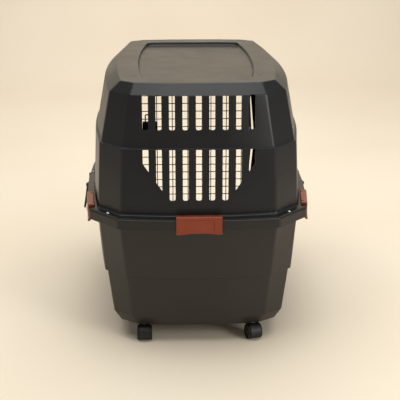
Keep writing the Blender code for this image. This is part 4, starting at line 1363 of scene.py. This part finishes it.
@dataclass
class Latches:
    """Wide latches, each hung on a pin over the rim and hooked under the skirt."""

    half: float = 0.069
    arm: float = 0.014  # from an end in to the cut-out for an ear
    eye: float = 0.0035  # the hinge barrel's radius
    pin: float = 0.0016  # radius
    plate: float = 0.004
    proud: float = 0.006  # how far the lower edge stands out
    drop: float = 0.0515  # from the hinge line down to the lower edge
    lip: float = 0.0035
    lip_height: float = 0.009
    lip_gap: float = 0.0035
    dish: float = 0.0018
    dish_half: float = 0.046
    scoop: float = 0.004
    scoop_half: float = 0.060
    notch_depth: float = 0.0015
    notch_gap: float = 0.002
    ear_width: float = 0.007
    ear_gap: float = 0.0005
    ear_room: float = 0.0015  # between an ear and the wall of its cut-out
    dish_corner: float = 0.005
    barrel_steps: int = 12
    scoop_steps: int = 24
    edge: float = 0.0006
    pin_edge: float = 0.0003

    def face(self) -> float:
        """The plate's inner face, from the hinge line."""
        return LATCH_PIVOT_IN - self.notch_depth + SEAT_GAP

    def ear_spans(self, gap: float = 0.0) -> list[list[float]]:
        """Where the two ears start and end along the hinge line, widened by a gap."""
        out = self.half - self.arm - self.ear_gap
        return [sorted((sign * (out + gap), sign * (out - self.ear_width - gap))) for sign in (-1, 1)]

    def add_ears(self, hood: Object, seat: Matrix) -> None:
        """Joins two drilled ears on the hood's flange.

        Args:
            hood: The hood.
            seat: The latch's frame.
        """
        ears = bmesh.new()
        foot = -self.eye - SEAT_GAP - BITE
        profile = [(-self.eye, foot), (self.eye, foot)]
        profile += arc((0.0, 0.0), self.eye, 0.0, math.pi, self.barrel_steps)
        for ends in self.ear_spans():
            add_prism(ears, profile, "X", *ends)
        carve(hood, ears, Cut.ON, seat)
        hole = rod_between((-self.half, 0, 0), (self.half, 0, 0), self.pin + SEAT_GAP)
        carve(hood, hole, Cut.AWAY, seat)

    def notch(self) -> bmesh.types.BMesh:
        """A tool mesh that flattens the rim behind a latch."""
        half, low = self.half + self.notch_gap, SKIRT_Z - FLANGE_Z - PAST
        inner = LATCH_PIVOT_IN - self.notch_depth
        return box_between((-half, inner, low), (half, LATCH_PIVOT_IN + PAST, PAST))

    def profile(self) -> list[Point]:
        """The latch's section across the rim: the hinge barrel, the plate and the hook under the skirt."""
        face, outer = self.face(), self.face() + self.plate
        flare, drop = LATCH_PIVOT_IN + self.proud, -self.drop
        lip_top = SKIRT_Z - self.lip_gap - LATCH_PIVOT_Z
        points = arc((0.0, 0.0), self.eye, math.pi / 2, 3 * math.pi / 2, self.barrel_steps)
        return points + [
            (face, -self.eye),
            (face, lip_top),
            (face - self.lip, lip_top),
            (face - self.lip, lip_top - self.lip_height / 2),
            (face, drop),
            (flare, drop),
            (outer, drop + self.lip_height),
            (outer, self.eye / 3),
            (outer - self.eye * 2 / 3, self.eye),
        ]

    def dish_outline(self) -> list[Vector]:
        """The outline of the shallow dish in the plate's outer face."""
        low, high = -self.drop + 1.5 * self.lip_height, -2 * self.eye
        half = self.dish_half
        corners = ((-half, low), (half, low), (half, high), (-half, high))
        return rounded([Vector(place) for place in corners], self.dish_corner)

    def build_one(self, name: str, seat: Matrix) -> None:
        """Builds one latch with its pin.

        Args:
            name: Where the latch is.
            seat: Its frame.
        """
        outer = self.face() + self.plate
        latch = object_from(prism(self.profile(), "X", -self.half, self.half), f"moulded_latch_{name}")
        reach, room = self.half + BITE, self.eye + self.ear_room
        carve(latch, rod_between((-reach, 0, 0), (reach, 0, 0), self.pin + SEAT_GAP), Cut.AWAY)
        cuts = prism(self.dish_outline(), "Y", outer - self.dish, outer + PAST)
        for low, high in self.ear_spans(self.ear_gap):
            add_box(cuts, (low, -room, -room), (high, room, room))
        carve(latch, cuts, Cut.AWAY)
        scoop = prism(self.finger_scoop(), "Y", 0.0, LATCH_PIVOT_IN + self.proud + PAST)
        carve(latch, scoop, Cut.AWAY)
        soften_edges(latch, self.edge, segments=3, above=FINE_SHARP_ANGLE)
        latch.data.transform(seat)
        dress(latch, f"latch_{name}", finished(LATCH_PLASTIC), "latch_plastic", f"latch_{name}")
        rod = rod_between((-self.half, 0, 0), (self.half, 0, 0), self.pin)
        pin = soften_edges(object_from(rod, f"steel_latch_pin_{name}"), self.pin_edge)
        pin.data.transform(seat)
        dress(pin, "crate", finished(ZINC_PLATE), "zinc_steel", f"latch_pin_{name}")

    def finger_scoop(self) -> list[Point]:
        """A flat arc that rises over the latch's lower edge."""
        radius, spread = flat_arc(self.scoop_half, self.scoop)
        centre = (0.0, -self.drop + self.scoop - radius)
        return arc(centre, radius, math.pi / 2 + spread, math.pi / 2 - spread, self.scoop_steps)

    def build(self) -> None:
        """Builds all the latches."""
        for name, seat in latch_seats():
            self.build_one(name, seat)


# Bolts that hold the shells together


@dataclass
class ShellFasteners:
    """Domed bolts with a cross recess, and nuts under the rim."""

    head: float = 0.006  # radius
    dome: float = 0.0038  # the head's height
    tail: float = 0.003  # how far a bolt stands out of its nut
    nut_half: float = 0.0058
    nut_height: float = 0.005
    cross: float = 0.0022  # half its length
    cross_width: float = 0.0008  # half its width
    cross_depth: float = 0.0012
    dome_steps: int = 8
    sides: int = 28
    nut_sides: int = 6
    edge: float = 0.0002
    nut_edge: float = 0.0004

    def build(self) -> None:
        """Builds the bolts and nuts."""
        nut_top, head = RIM_Z - WALL - SEAT_GAP, FLANGE_Z + SEAT_GAP
        low = nut_top - self.nut_height
        tail, crown, bore = low - self.tail, head + self.dome, SHELL_BOLT + SEAT_GAP
        quarter = arc((0, 0), 1.0, math.pi / 2, 0.0, self.dome_steps)[1:]
        bolt = [(0.0, crown)] + [(self.head * x, head + self.dome * y) for x, y in quarter]
        bolt += [(SHELL_BOLT, head), (SHELL_BOLT, tail), (0.0, tail)]
        nut = [(bore, nut_top), (self.nut_half, nut_top), (self.nut_half, low), (bore, low)]
        for name, x, y in bolt_places():
            place = Matrix.Translation((x, y, 0.0))
            made = object_from(turned(bolt, self.sides), f"domed_bolt_{name}")
            for wide, deep in ((self.cross, self.cross_width), (self.cross_width, self.cross)):
                near = (-wide, -deep, crown - self.cross_depth)
                carve(made, box_between(near, (wide, deep, crown + BITE)), Cut.AWAY)
            soften_edges(made, self.edge)
            made.data.transform(place)
            dress(made, "crate", finished(ZINC_PLATE), "zinc_steel", f"shell_bolt_{name}")
            made = object_from(turned(nut, self.nut_sides), f"hexagon_nut_{name}", place)
            soften_edges(made, self.nut_edge)
            dress(made, "crate", finished(ZINC_PLATE), "zinc_steel", f"shell_nut_{name}")


# Door


@dataclass
class Door:
    """Welded wires in two layers inside a round frame, with two braces, a hinge rod and two bolt guides."""

    across: int = 16
    up: int = 15
    across_pitch: float = 0.0309
    up_pitch: float = 0.0314
    up_middle: float = 0.3851
    brace: tuple[Point, ...] = ((0.2186, DOOR_LOW), (0.2390, 0.437), (0.2276, DOOR_HIGH))
    corner: float = 0.014
    guide_half: float = 0.006
    guide_height: float = 0.010
    bite: float = 0.0005  # how far crossing wires are welded into each other
    corner_steps: int = 10
    wire_sides: int = 10

    def brace_at(self, z: float) -> float:
        """How far out a brace stands at a height.

        Args:
            z: The height.

        Returns:
            The distance from the door's middle.
        """
        low, middle, high = self.brace
        start, end = (low, middle) if z < middle[1] else (middle, high)
        return start[0] + (end[0] - start[0]) * (z - start[1]) / (end[1] - start[1])

    def frame_line(self) -> list[Sequence[float]]:
        """The middle line of the door's round frame."""
        centre_z = (DOOR_HIGH + DOOR_LOW) / 2
        straight_x, straight_z = DOOR_HALF - self.corner, (DOOR_HIGH - DOOR_LOW) / 2 - self.corner
        line = []
        for turn, (sx, sz) in enumerate(((1, 1), (-1, 1), (-1, -1), (1, -1))):
            start, end = turn * math.pi / 2, turn * math.pi / 2 + math.pi / 2
            place = (sx * straight_x, centre_z + sz * straight_z)
            line += [(x, DOOR_Y, z) for x, z in arc(place, self.corner, start, end, self.corner_steps)]
        return line

    def guides(self) -> bmesh.types.BMesh:
        """The two blocks on the frame in which the lock's bolts slide."""
        bm = bmesh.new()
        for z, sign in ((DOOR_HIGH, -1), (DOOR_LOW, 1)):
            low, high = sorted((z - sign * FRAME_WIRE, z + sign * (self.guide_height - FRAME_WIRE)))
            far = (LOCK_X + self.guide_half, BOLT_Y + self.guide_half, high)
            add_box(bm, (LOCK_X - self.guide_half, DOOR_Y, low), far)
        return bm

    def wires(self) -> tuple[bmesh.types.BMesh, bmesh.types.BMesh]:
        """The upright wires in front and the level ones behind, which end at the braces."""
        layer = WIRE - self.bite / 2
        uprights, levels = bmesh.new(), bmesh.new()
        for i in range(self.across):
            x, y = (i - (self.across - 1) / 2) * self.across_pitch, DOOR_Y + layer
            add_rod(uprights, (x, y, DOOR_LOW), (x, y, DOOR_HIGH), WIRE, self.wire_sides)
        for i in range(self.up):
            y, z = DOOR_Y - layer, self.up_middle + (i - (self.up - 1) / 2) * self.up_pitch
            reach = self.brace_at(z)
            add_rod(levels, (-reach, y, z), (reach, y, z), WIRE, self.wire_sides)
        return uprights, levels

    def build(self) -> None:
        """Builds the grille as one welded piece."""
        bar = swept(self.frame_line(), FRAME_WIRE, BAR_SIDES, closed=True)
        door = object_from(bar, "welded_wire_door")
        reach = LUG_GAP + FRAME_WIRE + PIN_REACH
        low, high = (DOOR_HALF, DOOR_Y, DOOR_LOW - reach), (DOOR_HALF, DOOR_Y, DOOR_HIGH + reach)
        carve(door, rod_between(low, high, HINGE_ROD), Cut.ON)
        carve(door, self.guides(), Cut.ON)
        for layer in self.wires():
            carve(door, layer, Cut.ON)
        for side in Side:
            path = [(side.value * x, DOOR_Y, z) for x, z in self.brace]
            carve(door, swept(path, FRAME_WIRE, BAR_SIDES), Cut.ON)
        bores = bmesh.new()
        for z in (DOOR_LOW, DOOR_HIGH):
            span = self.guide_height + BITE
            add_rod(bores, (LOCK_X, BOLT_Y, z - span), (LOCK_X, BOLT_Y, z + span), BOLT + SEAT_GAP)
        carve(door, bores, Cut.AWAY)
        shade(door, MOULDED_SHARP_ANGLE)
        dress(door, "door", finished(DOOR_COATING_WITH_PAINTED_SHADE), "door_wire", "door_grid")


@dataclass
class Lock:
    """A block on the wires, two bolts that a squeeze of their loops draws in, and their springs."""

    height: float = 0.058
    half: float = 0.030
    depth: float = 0.01735
    edge: float = 0.003
    rib: float = 0.004  # between the two bolts' bores
    bolt_inside: float = 0.010
    travel: float = 0.011
    loop_wire: float = 0.0025  # radius
    loop_half: float = 0.0185
    loop_rise: float = 0.0315
    loop_corner: float = 0.006
    leg_inside: float = 0.004
    leg_room: float = 0.001  # left past a leg's end when its bolt is drawn
    back_plate: float = 0.0025
    back_height: float = 0.050
    wire: float = 0.0005  # the springs' wire, radius
    turns: int = 7
    turn_steps: int = 20
    wire_sides: int = 8
    corner_steps: int = 8
    bolt_sides: int = 24
    bolt_edge: float = 0.0008
    plate_edge: float = 0.001

    def build(self) -> None:
        """Builds the lock's pieces."""
        low, high = LOCK_Z - self.height / 2, LOCK_Z + self.height / 2
        reach = 2 * WIRE - DOOR.bite / 2 + SEAT_GAP
        back = DOOR_Y + reach
        left, right = LOCK_X - self.half, LOCK_X + self.half
        block = box_between((left, back, low), (right, back + self.depth, high))
        housing = soften_edges(object_from(block, "lock_block"), self.edge, segments=4)
        bores = bmesh.new()
        for sign, mouth in ((1, high + BITE), (-1, low - BITE)):
            inner = LOCK_Z + sign * self.rib / 2
            add_rod(bores, (LOCK_X, BOLT_Y, inner), (LOCK_X, BOLT_Y, mouth), BOLT + SEAT_GAP)
            depth = self.height / 2 - self.leg_inside - self.travel - self.leg_room
            for x in (LOCK_X - self.loop_half, LOCK_X + self.loop_half):
                ends = ((x, BOLT_Y, LOCK_Z + sign * depth), (x, BOLT_Y, mouth))
                add_rod(bores, *ends, self.loop_wire + SEAT_GAP)
        carve(housing, bores, Cut.AWAY)
        dress(shade(housing), "door", finished(BLACK_PLASTIC), "black_plastic", "lock_housing")
        top, span = DOOR_Y - reach, self.back_height / 2
        plate = box_between((left, top - self.back_plate, LOCK_Z - span), (right, top, LOCK_Z + span))
        behind = soften_edges(object_from(plate, "lock_clamp_plate"), self.plate_edge, segments=3)
        dress(behind, "door", finished(BLACK_PLASTIC), "black_plastic", "lock_back_plate")
        lug = LUG_GAP + FRAME_WIRE + PIN_REACH
        self.build_bolt("upper", 1, high, DOOR_HIGH + lug)
        self.build_bolt("lower", -1, low, DOOR_LOW - lug)

    def build_bolt(self, name: str, sign: int, mouth: float, tip: float) -> None:
        """Builds a bolt with its loop and its spring.

        Args:
            name: Upper or lower.
            sign: Which way the bolt points.
            mouth: Where it leaves the block.
            tip: Where it ends in its keeper.
        """
        inner = mouth - sign * self.bolt_inside
        rod = rod_between((LOCK_X, BOLT_Y, inner), (LOCK_X, BOLT_Y, tip), BOLT, self.bolt_sides)
        bolt = soften_edges(object_from(rod, f"sliding_bolt_{name}"), self.bolt_edge, segments=3)
        loop = [(LOCK_X + x, BOLT_Y, mouth + sign * rise) for x, rise in self.loop_path()]
        carve(bolt, swept(loop, self.loop_wire, BAR_SIDES), Cut.ON)
        dress(shade(bolt), f"bolt_{name}", finished(BLACK_ZINC), "zinc_steel", f"lock_bolt_{name}")
        seat = LOCK_Z + sign * (self.rib / 2 + self.wire + SEAT_GAP)
        end = inner - sign * (self.wire + SEAT_GAP)
        points = []
        count, radius = self.turns * self.turn_steps, BOLT - self.wire
        for i in range(count + 1):
            turn = 2 * math.pi * i / self.turn_steps
            place = (LOCK_X + radius * math.cos(turn), BOLT_Y + radius * math.sin(turn))
            points.append((*place, seat + (end - seat) * i / count))
        spring = object_from(swept(points, self.wire, self.wire_sides), f"coil_spring_{name}")
        spring.data.shade_smooth()
        dress(spring, "door", finished(ZINC_PLATE), "zinc_steel", f"lock_spring_{name}")

    def loop_path(self) -> list[Point]:
        """A loop's middle line, as places along the block and distances off it."""
        straight, corner = self.loop_half - self.loop_corner, self.loop_corner
        rise = self.loop_rise - self.loop_wire - corner
        path = [(-self.loop_half, -self.leg_inside)]
        path += arc((-straight, rise), corner, math.pi, math.pi / 2, self.corner_steps)
        path += arc((straight, rise), corner, math.pi / 2, 0.0, self.corner_steps)
        return path + [(self.loop_half, -self.leg_inside)]


# Carry handles


@dataclass
class Handles:
    """Flat bails that hang from stub pins between lugs on the skirt and lean out."""

    half: float = 0.0615
    arm: float = 0.014
    grip: float = 0.024
    thick: float = 0.006
    length: float = 0.088  # from the hinge line down
    top: float = 0.005  # from the hinge line up
    edge: float = 0.0015
    corner: float = 0.010
    corner_steps: int = 10
    lean: float = math.radians(9)
    pivot_out: float = 0.0045  # from the skirt
    pivot_z: float = 0.4135
    pin: float = 0.003  # radius
    lug: float = 0.006
    lug_gap: float = 0.0008
    lug_half: float = 0.005

    def frame_of(self, side: Side) -> Matrix:
        """The frame on a handle's hinge line: X along the crate, Y outward, Z up.

        Args:
            side: The handle's side.

        Returns:
            The frame.
        """
        reach = side.value * (RIM.side_x + RIM.side_bow + self.pivot_out)
        spin = Matrix.Rotation(-side.value * math.pi / 2, 4, "Z")
        return Matrix.Translation((reach, 0.0, self.pivot_z)) @ spin

    def add_lugs(self, tub: Object) -> None:
        """Joins the handles' drilled lugs on the tub's skirt.

        Args:
            tub: The tub.
        """
        inside, half = self.half + self.lug_gap, self.lug_half
        for side in Side:
            for sign in (-1, 1):
                low, high = sorted((sign * inside, sign * (inside + self.lug)))
                block = box_between((low, -self.pivot_out - WALL / 2, -half), (high, half, half))
                bore = self.pin + 2 * SEAT_GAP
                hole = rod_between((low - BITE, 0, 0), (high + BITE, 0, 0), bore)
                lug = carve(object_from(block, "lug"), hole, Cut.AWAY)
                carve(tub, taken(lug.data), Cut.ON, self.frame_of(side))

    def loop(self, half: float, low: float, high: float) -> list[Point]:
        """A bail's outline, open and square at its top.

        Args:
            half: Half its width.
            low: Its lowest point.
            high: Its highest point.

        Returns:
            The outline.
        """
        foot, down = low + self.corner, 1.5 * math.pi
        left = arc((-half + self.corner, foot), self.corner, math.pi, down, self.corner_steps)
        right = arc((half - self.corner, foot), self.corner, down, 2 * math.pi, self.corner_steps)
        return [(half, high), (-half, high)] + left + right

    def build(self) -> None:
        """Builds both handles."""
        inner = self.half - self.arm
        pins = self.half + self.lug_gap + self.lug
        for side in Side:
            name = side.name.lower()
            bail = prism(self.loop(self.half, -self.length, self.top), "Y", -self.thick / 2, self.thick / 2)
            handle = object_from(bail, f"moulded_handle_{name}")
            window = self.loop(inner, -self.length + self.grip, self.top + BITE)
            carve(handle, prism(window, "Y", -self.thick, self.thick), Cut.AWAY)
            soften_edges(handle, self.edge, segments=3, above=MOULDED_SHARP_ANGLE)
            stubs = bmesh.new()
            for sign in (-1, 1):
                add_rod(stubs, (sign * inner, 0, 0), (sign * pins, 0, 0), self.pin)
            shade(carve(handle, stubs, Cut.ON))
            handle.data.transform(self.frame_of(side) @ Matrix.Rotation(self.lean, 4, "X"))
            dress(handle, f"handle_{name}", finished(BLACK_PLASTIC), "black_plastic", f"handle_{name}")


# Castors


CASTOR_TURNS = {  # in degrees about the kingpin
    (End.REAR, Side.LEFT): 0.0,
    (End.REAR, Side.RIGHT): 17.0,
    (End.FRONT, Side.LEFT): -8.0,
    (End.FRONT, Side.RIGHT): 5.0,
}


@dataclass
class Castors:
    """Twin-wheel castors whose hoods trail to the rear."""

    x: float = 0.1725
    y: float = 0.409
    trail: float = 0.014  # from the kingpin back to the axle
    axle_z: float = 0.024373
    wheel: float = 0.0243  # radius
    wheel_width: float = 0.018
    shoulder: float = 0.0025
    face_slope: float = 0.001
    face_rim: float = 0.002
    face_corner: float = 0.0007
    dish: float = 0.0015
    hub: float = 0.006  # radius
    gap: float = 0.0004  # between the fin and a wheel
    axle: float = 0.0025  # radius
    fin_half: float = 0.005
    fender_inner: float = 0.0262  # radius
    fender: float = 0.0025
    fender_half: float = 0.017
    fender_from: float = math.radians(25)
    fender_to: float = math.radians(200)
    boss: float = 0.008  # radius
    boss_gap: float = 0.0009
    kingpin: float = 0.003  # radius
    kingpin_length: float = 0.020
    plate: float = 0.018  # radius
    plate_thick: float = 0.0025
    plate_chamfer: float = 0.001
    dimple: float = 0.0016
    fender_steps: int = 26
    boss_sides: int = 28
    plate_sides: int = 40
    wheel_sides: int = 56
    edge: float = 0.0008
    plate_edge: float = 0.0003
    axle_edge: float = 0.0004
    tyre_edge: float = 0.0005

    def build(self) -> None:
        """Builds the four castors."""
        for end in End:
            for side in Side:
                name = f"castor_{end.name}_{side.name}".lower()
                spin = Matrix.Rotation(math.radians(CASTOR_TURNS[end, side]), 4, "Z")
                place = Matrix.Translation((side.value * self.x, end.value * self.y, 0.0)) @ spin
                self.build_plate(name, place)
                self.build_hood(name, place)
                self.build_wheels(name, place)

    def build_plate(self, name: str, place: Matrix) -> None:
        """Builds the plate and kingpin.

        Args:
            name: The castor's name.
            place: Its frame, on the floor below the kingpin.
        """
        high = BASE_Z - SEAT_GAP
        low, end = high - self.plate_thick, high - self.kingpin_length
        edge, chamfer = self.plate, self.plate_chamfer
        profile = [(0.0, high), (edge - chamfer, high), (edge, low + chamfer), (edge, low)]
        profile += [(self.kingpin, low), (self.kingpin, end), (0.0, end)]
        plate = object_from(turned(profile, self.plate_sides), f"{name}_steel_plate", place)
        soften_edges(plate, self.plate_edge)
        dress(plate, "crate", finished(ZINC_PLATE), "zinc_steel", f"{name}_plate")

    def build_hood(self, name: str, place: Matrix) -> None:
        """Builds the fender with its fin and boss.

        Args:
            name: The castor's name.
            place: Its frame.
        """
        centre = (-self.trail, self.axle_z)
        outer = self.fender_inner + self.fender
        span, steps = (self.fender_from, self.fender_to), self.fender_steps
        shell = arc(centre, outer, *span, steps) + arc(centre, self.fender_inner, *reversed(span), steps)
        fender = prism(shell, "X", -self.fender_half, self.fender_half)
        hood = object_from(fender, f"{name}_moulded_hood")
        fin = arc(centre, self.fender_inner + self.fender / 2, *span, steps)
        fin.append((centre[0], centre[1] - self.hub))
        carve(hood, prism(fin, "X", -self.fin_half, self.fin_half), Cut.ON)
        top = BASE_Z - SEAT_GAP - self.plate_thick - self.boss_gap
        crown = (0, 0, self.axle_z + self.wheel)
        carve(hood, rod_between(crown, (0, 0, top), self.boss, self.boss_sides), Cut.ON)
        holes = bmesh.new()
        low = BASE_Z - self.kingpin_length - 2 * SEAT_GAP
        add_rod(holes, (0, 0, low), (0, 0, top + BITE), self.kingpin + SEAT_GAP)
        reach, bore = self.fin_half + BITE, self.axle + SEAT_GAP
        add_rod(holes, (-reach, centre[0], self.axle_z), (reach, centre[0], self.axle_z), bore)
        face = centre[0] - outer
        add_rod(holes, (0, face - BITE, self.axle_z), (0, face + self.fender / 2, self.axle_z), self.dimple)
        carve(hood, holes, Cut.AWAY)
        soften_edges(hood, self.edge, segments=3)
        hood.data.transform(place)
        dress(hood, name, finished(BLACK_PLASTIC), "black_plastic", f"{name}_hood")

    def build_wheels(self, name: str, place: Matrix) -> None:
        """Builds the axle and the two wheels.

        Args:
            name: The castor's name.
            place: Its frame.
        """
        axle_place = place @ Matrix.Translation((0.0, -self.trail, self.axle_z))
        half = self.fin_half + self.gap + self.wheel_width - self.dish
        rod = rod_between((-half, 0, 0), (half, 0, 0), self.axle)
        axle = soften_edges(object_from(rod, f"{name}_steel_axle", axle_place), self.axle_edge)
        dress(axle, name, finished(ZINC_PLATE), "zinc_steel", f"{name}_axle")
        for side in Side:
            middle = side.value * (self.fin_half + self.gap + self.wheel_width / 2)
            spin = Matrix.Rotation(side.value * math.pi / 2, 4, "Y")
            spot = axle_place @ Matrix.Translation((middle, 0.0, 0.0)) @ spin
            label = side.name.lower()
            tyre = turned(self.wheel_profile(), self.wheel_sides)
            wheel = object_from(tyre, f"{name}_tyre_{label}", spot)
            soften_edges(wheel, self.tyre_edge, above=FINE_SHARP_ANGLE)
            body = f"{name}_wheel_{label}"
            dress(wheel, body, finished(TREAD_RUBBER), "castor_rubber", body)

    def wheel_profile(self) -> list[Point]:
        """A wheel's half section, from the bore across the dished outer face and back inside."""
        bore, half = self.axle + SEAT_GAP, self.wheel_width / 2
        rim, hub, slope = self.wheel - self.shoulder, self.hub, self.face_slope
        return [
            (bore, half - self.dish),
            (hub - slope, half - self.dish),
            (hub, half - 2 * self.dish),
            (rim - self.face_rim - slope, half - 2 * self.dish),
            (rim - self.face_rim, half),
            (rim, half),
            (self.wheel - self.face_corner, half - self.face_corner),
            (self.wheel, half - self.shoulder),
            (self.wheel, -half + self.shoulder / 2),
            (self.wheel - self.shoulder / 2, -half),
            (bore, -half),
        ]


# Studio


@dataclass(frozen=True)
class SoftLamp:
    """A large soft lamp that points at a spot."""

    name: str
    place: tuple[float, float, float]
    aim: tuple[float, float, float]
    size: float
    watts: float

    def add(self) -> None:
        """Adds the lamp to the scene."""
        light = bpy.data.lights.new(self.name, "AREA")
        light.size = self.size
        light.energy = self.watts
        lamp = fresh_object(self.name, light)
        lamp.location = self.place
        run = Vector(self.aim) - Vector(self.place)
        lamp.rotation_euler = run.to_track_quat("-Z", "Y").to_euler()


@dataclass
class Studio:
    """A cream paper sweep, soft lamps, and a camera that looks down on the rear end."""

    camera_place: tuple[float, float, float] = (-0.080, -3.228, 1.364)
    camera_down: float = 17.70  # degrees below the level
    camera_turn: float = -1.737  # degrees about Z
    lens_mm: float = 86.13
    sensor_mm: float = 36.0
    paper_half: float = 2.4
    paper_front: float = -1.6
    paper_back: float = 3.6
    paper_bend: float = 1.6
    paper_bend_steps: int = 16
    paper_high: float = 6.0
    sky: str = "#f2f0ee"
    sky_strength: float = 0.33
    lamps: tuple[SoftLamp, ...] = (
        SoftLamp("overhead_softbox", (-0.2, -0.05, 4.2), (-0.2, -0.05, 0.0), 5.0, 180.0),
        SoftLamp("right_softbox", (2.9, -3.0, 1.6), (0.0, 0.0, 0.5), 1.6, 58.0),
        SoftLamp("backdrop_lamp", (0.0, 3.2, 4.4), (0.0, 5.2, 1.2), 2.4, 48.0),
    )

    def build(self) -> None:
        """Sets up the sweep, the lamps, the world and the camera."""
        self.add_sweep()
        for lamp in self.lamps:
            lamp.add()
        world = bpy.data.worlds.new("studio_air")
        world.use_nodes = True
        air = world.node_tree.nodes["Background"]
        air.inputs["Color"].default_value = linear(self.sky)
        air.inputs["Strength"].default_value = self.sky_strength
        bpy.context.scene.world = world
        lens = bpy.data.cameras.new("rear_view")
        lens.lens, lens.sensor_width = self.lens_mm, self.sensor_mm
        camera = fresh_object("rear_view", lens)
        camera.location = self.camera_place
        tilt = math.radians(90.0 - self.camera_down)
        camera.rotation_euler = (tilt, 0.0, math.radians(self.camera_turn))
        bpy.context.scene.camera = camera
        bpy.context.scene.view_settings.view_transform = "Standard"

    def add_sweep(self) -> None:
        """Adds the paper, which rises behind the object in a wide bend."""
        centre, steps = (self.paper_back, self.paper_bend), self.paper_bend_steps
        bend = arc(centre, self.paper_bend, -math.pi / 2, 0.0, steps)
        line = [(self.paper_front, 0.0)] + bend + [(self.paper_back + self.paper_bend, self.paper_high)]
        bm = bmesh.new()
        rows = [[bm.verts.new((x, y, z)) for x in (-self.paper_half, self.paper_half)] for y, z in line]
        for near, far in zip(rows, rows[1:]):
            bm.faces.new((near[0], near[1], far[1], far[0]))
        mesh = bpy.data.meshes.new("paper_sweep")
        bm.to_mesh(mesh)
        bm.free()
        mesh.shade_smooth()
        sweep = fresh_object("paper_sweep", mesh)
        sweep.data.materials.append(finished(STUDIO_PAPER))


PORTAL = Portal()
LATCHES = Latches()
HANDLES = Handles()
DOOR = Door()


def main() -> None:
    """Builds the crate's looks and the studio."""
    logging.basicConfig(level=logging.INFO, format="%(name)s: %(message)s")
    for assembly in (Studio(), Tub(), Hood(), LATCHES, ShellFasteners(), DOOR, Lock(), HANDLES, Castors()):
        assembly.build()


if __name__ == "__main__":
    main()
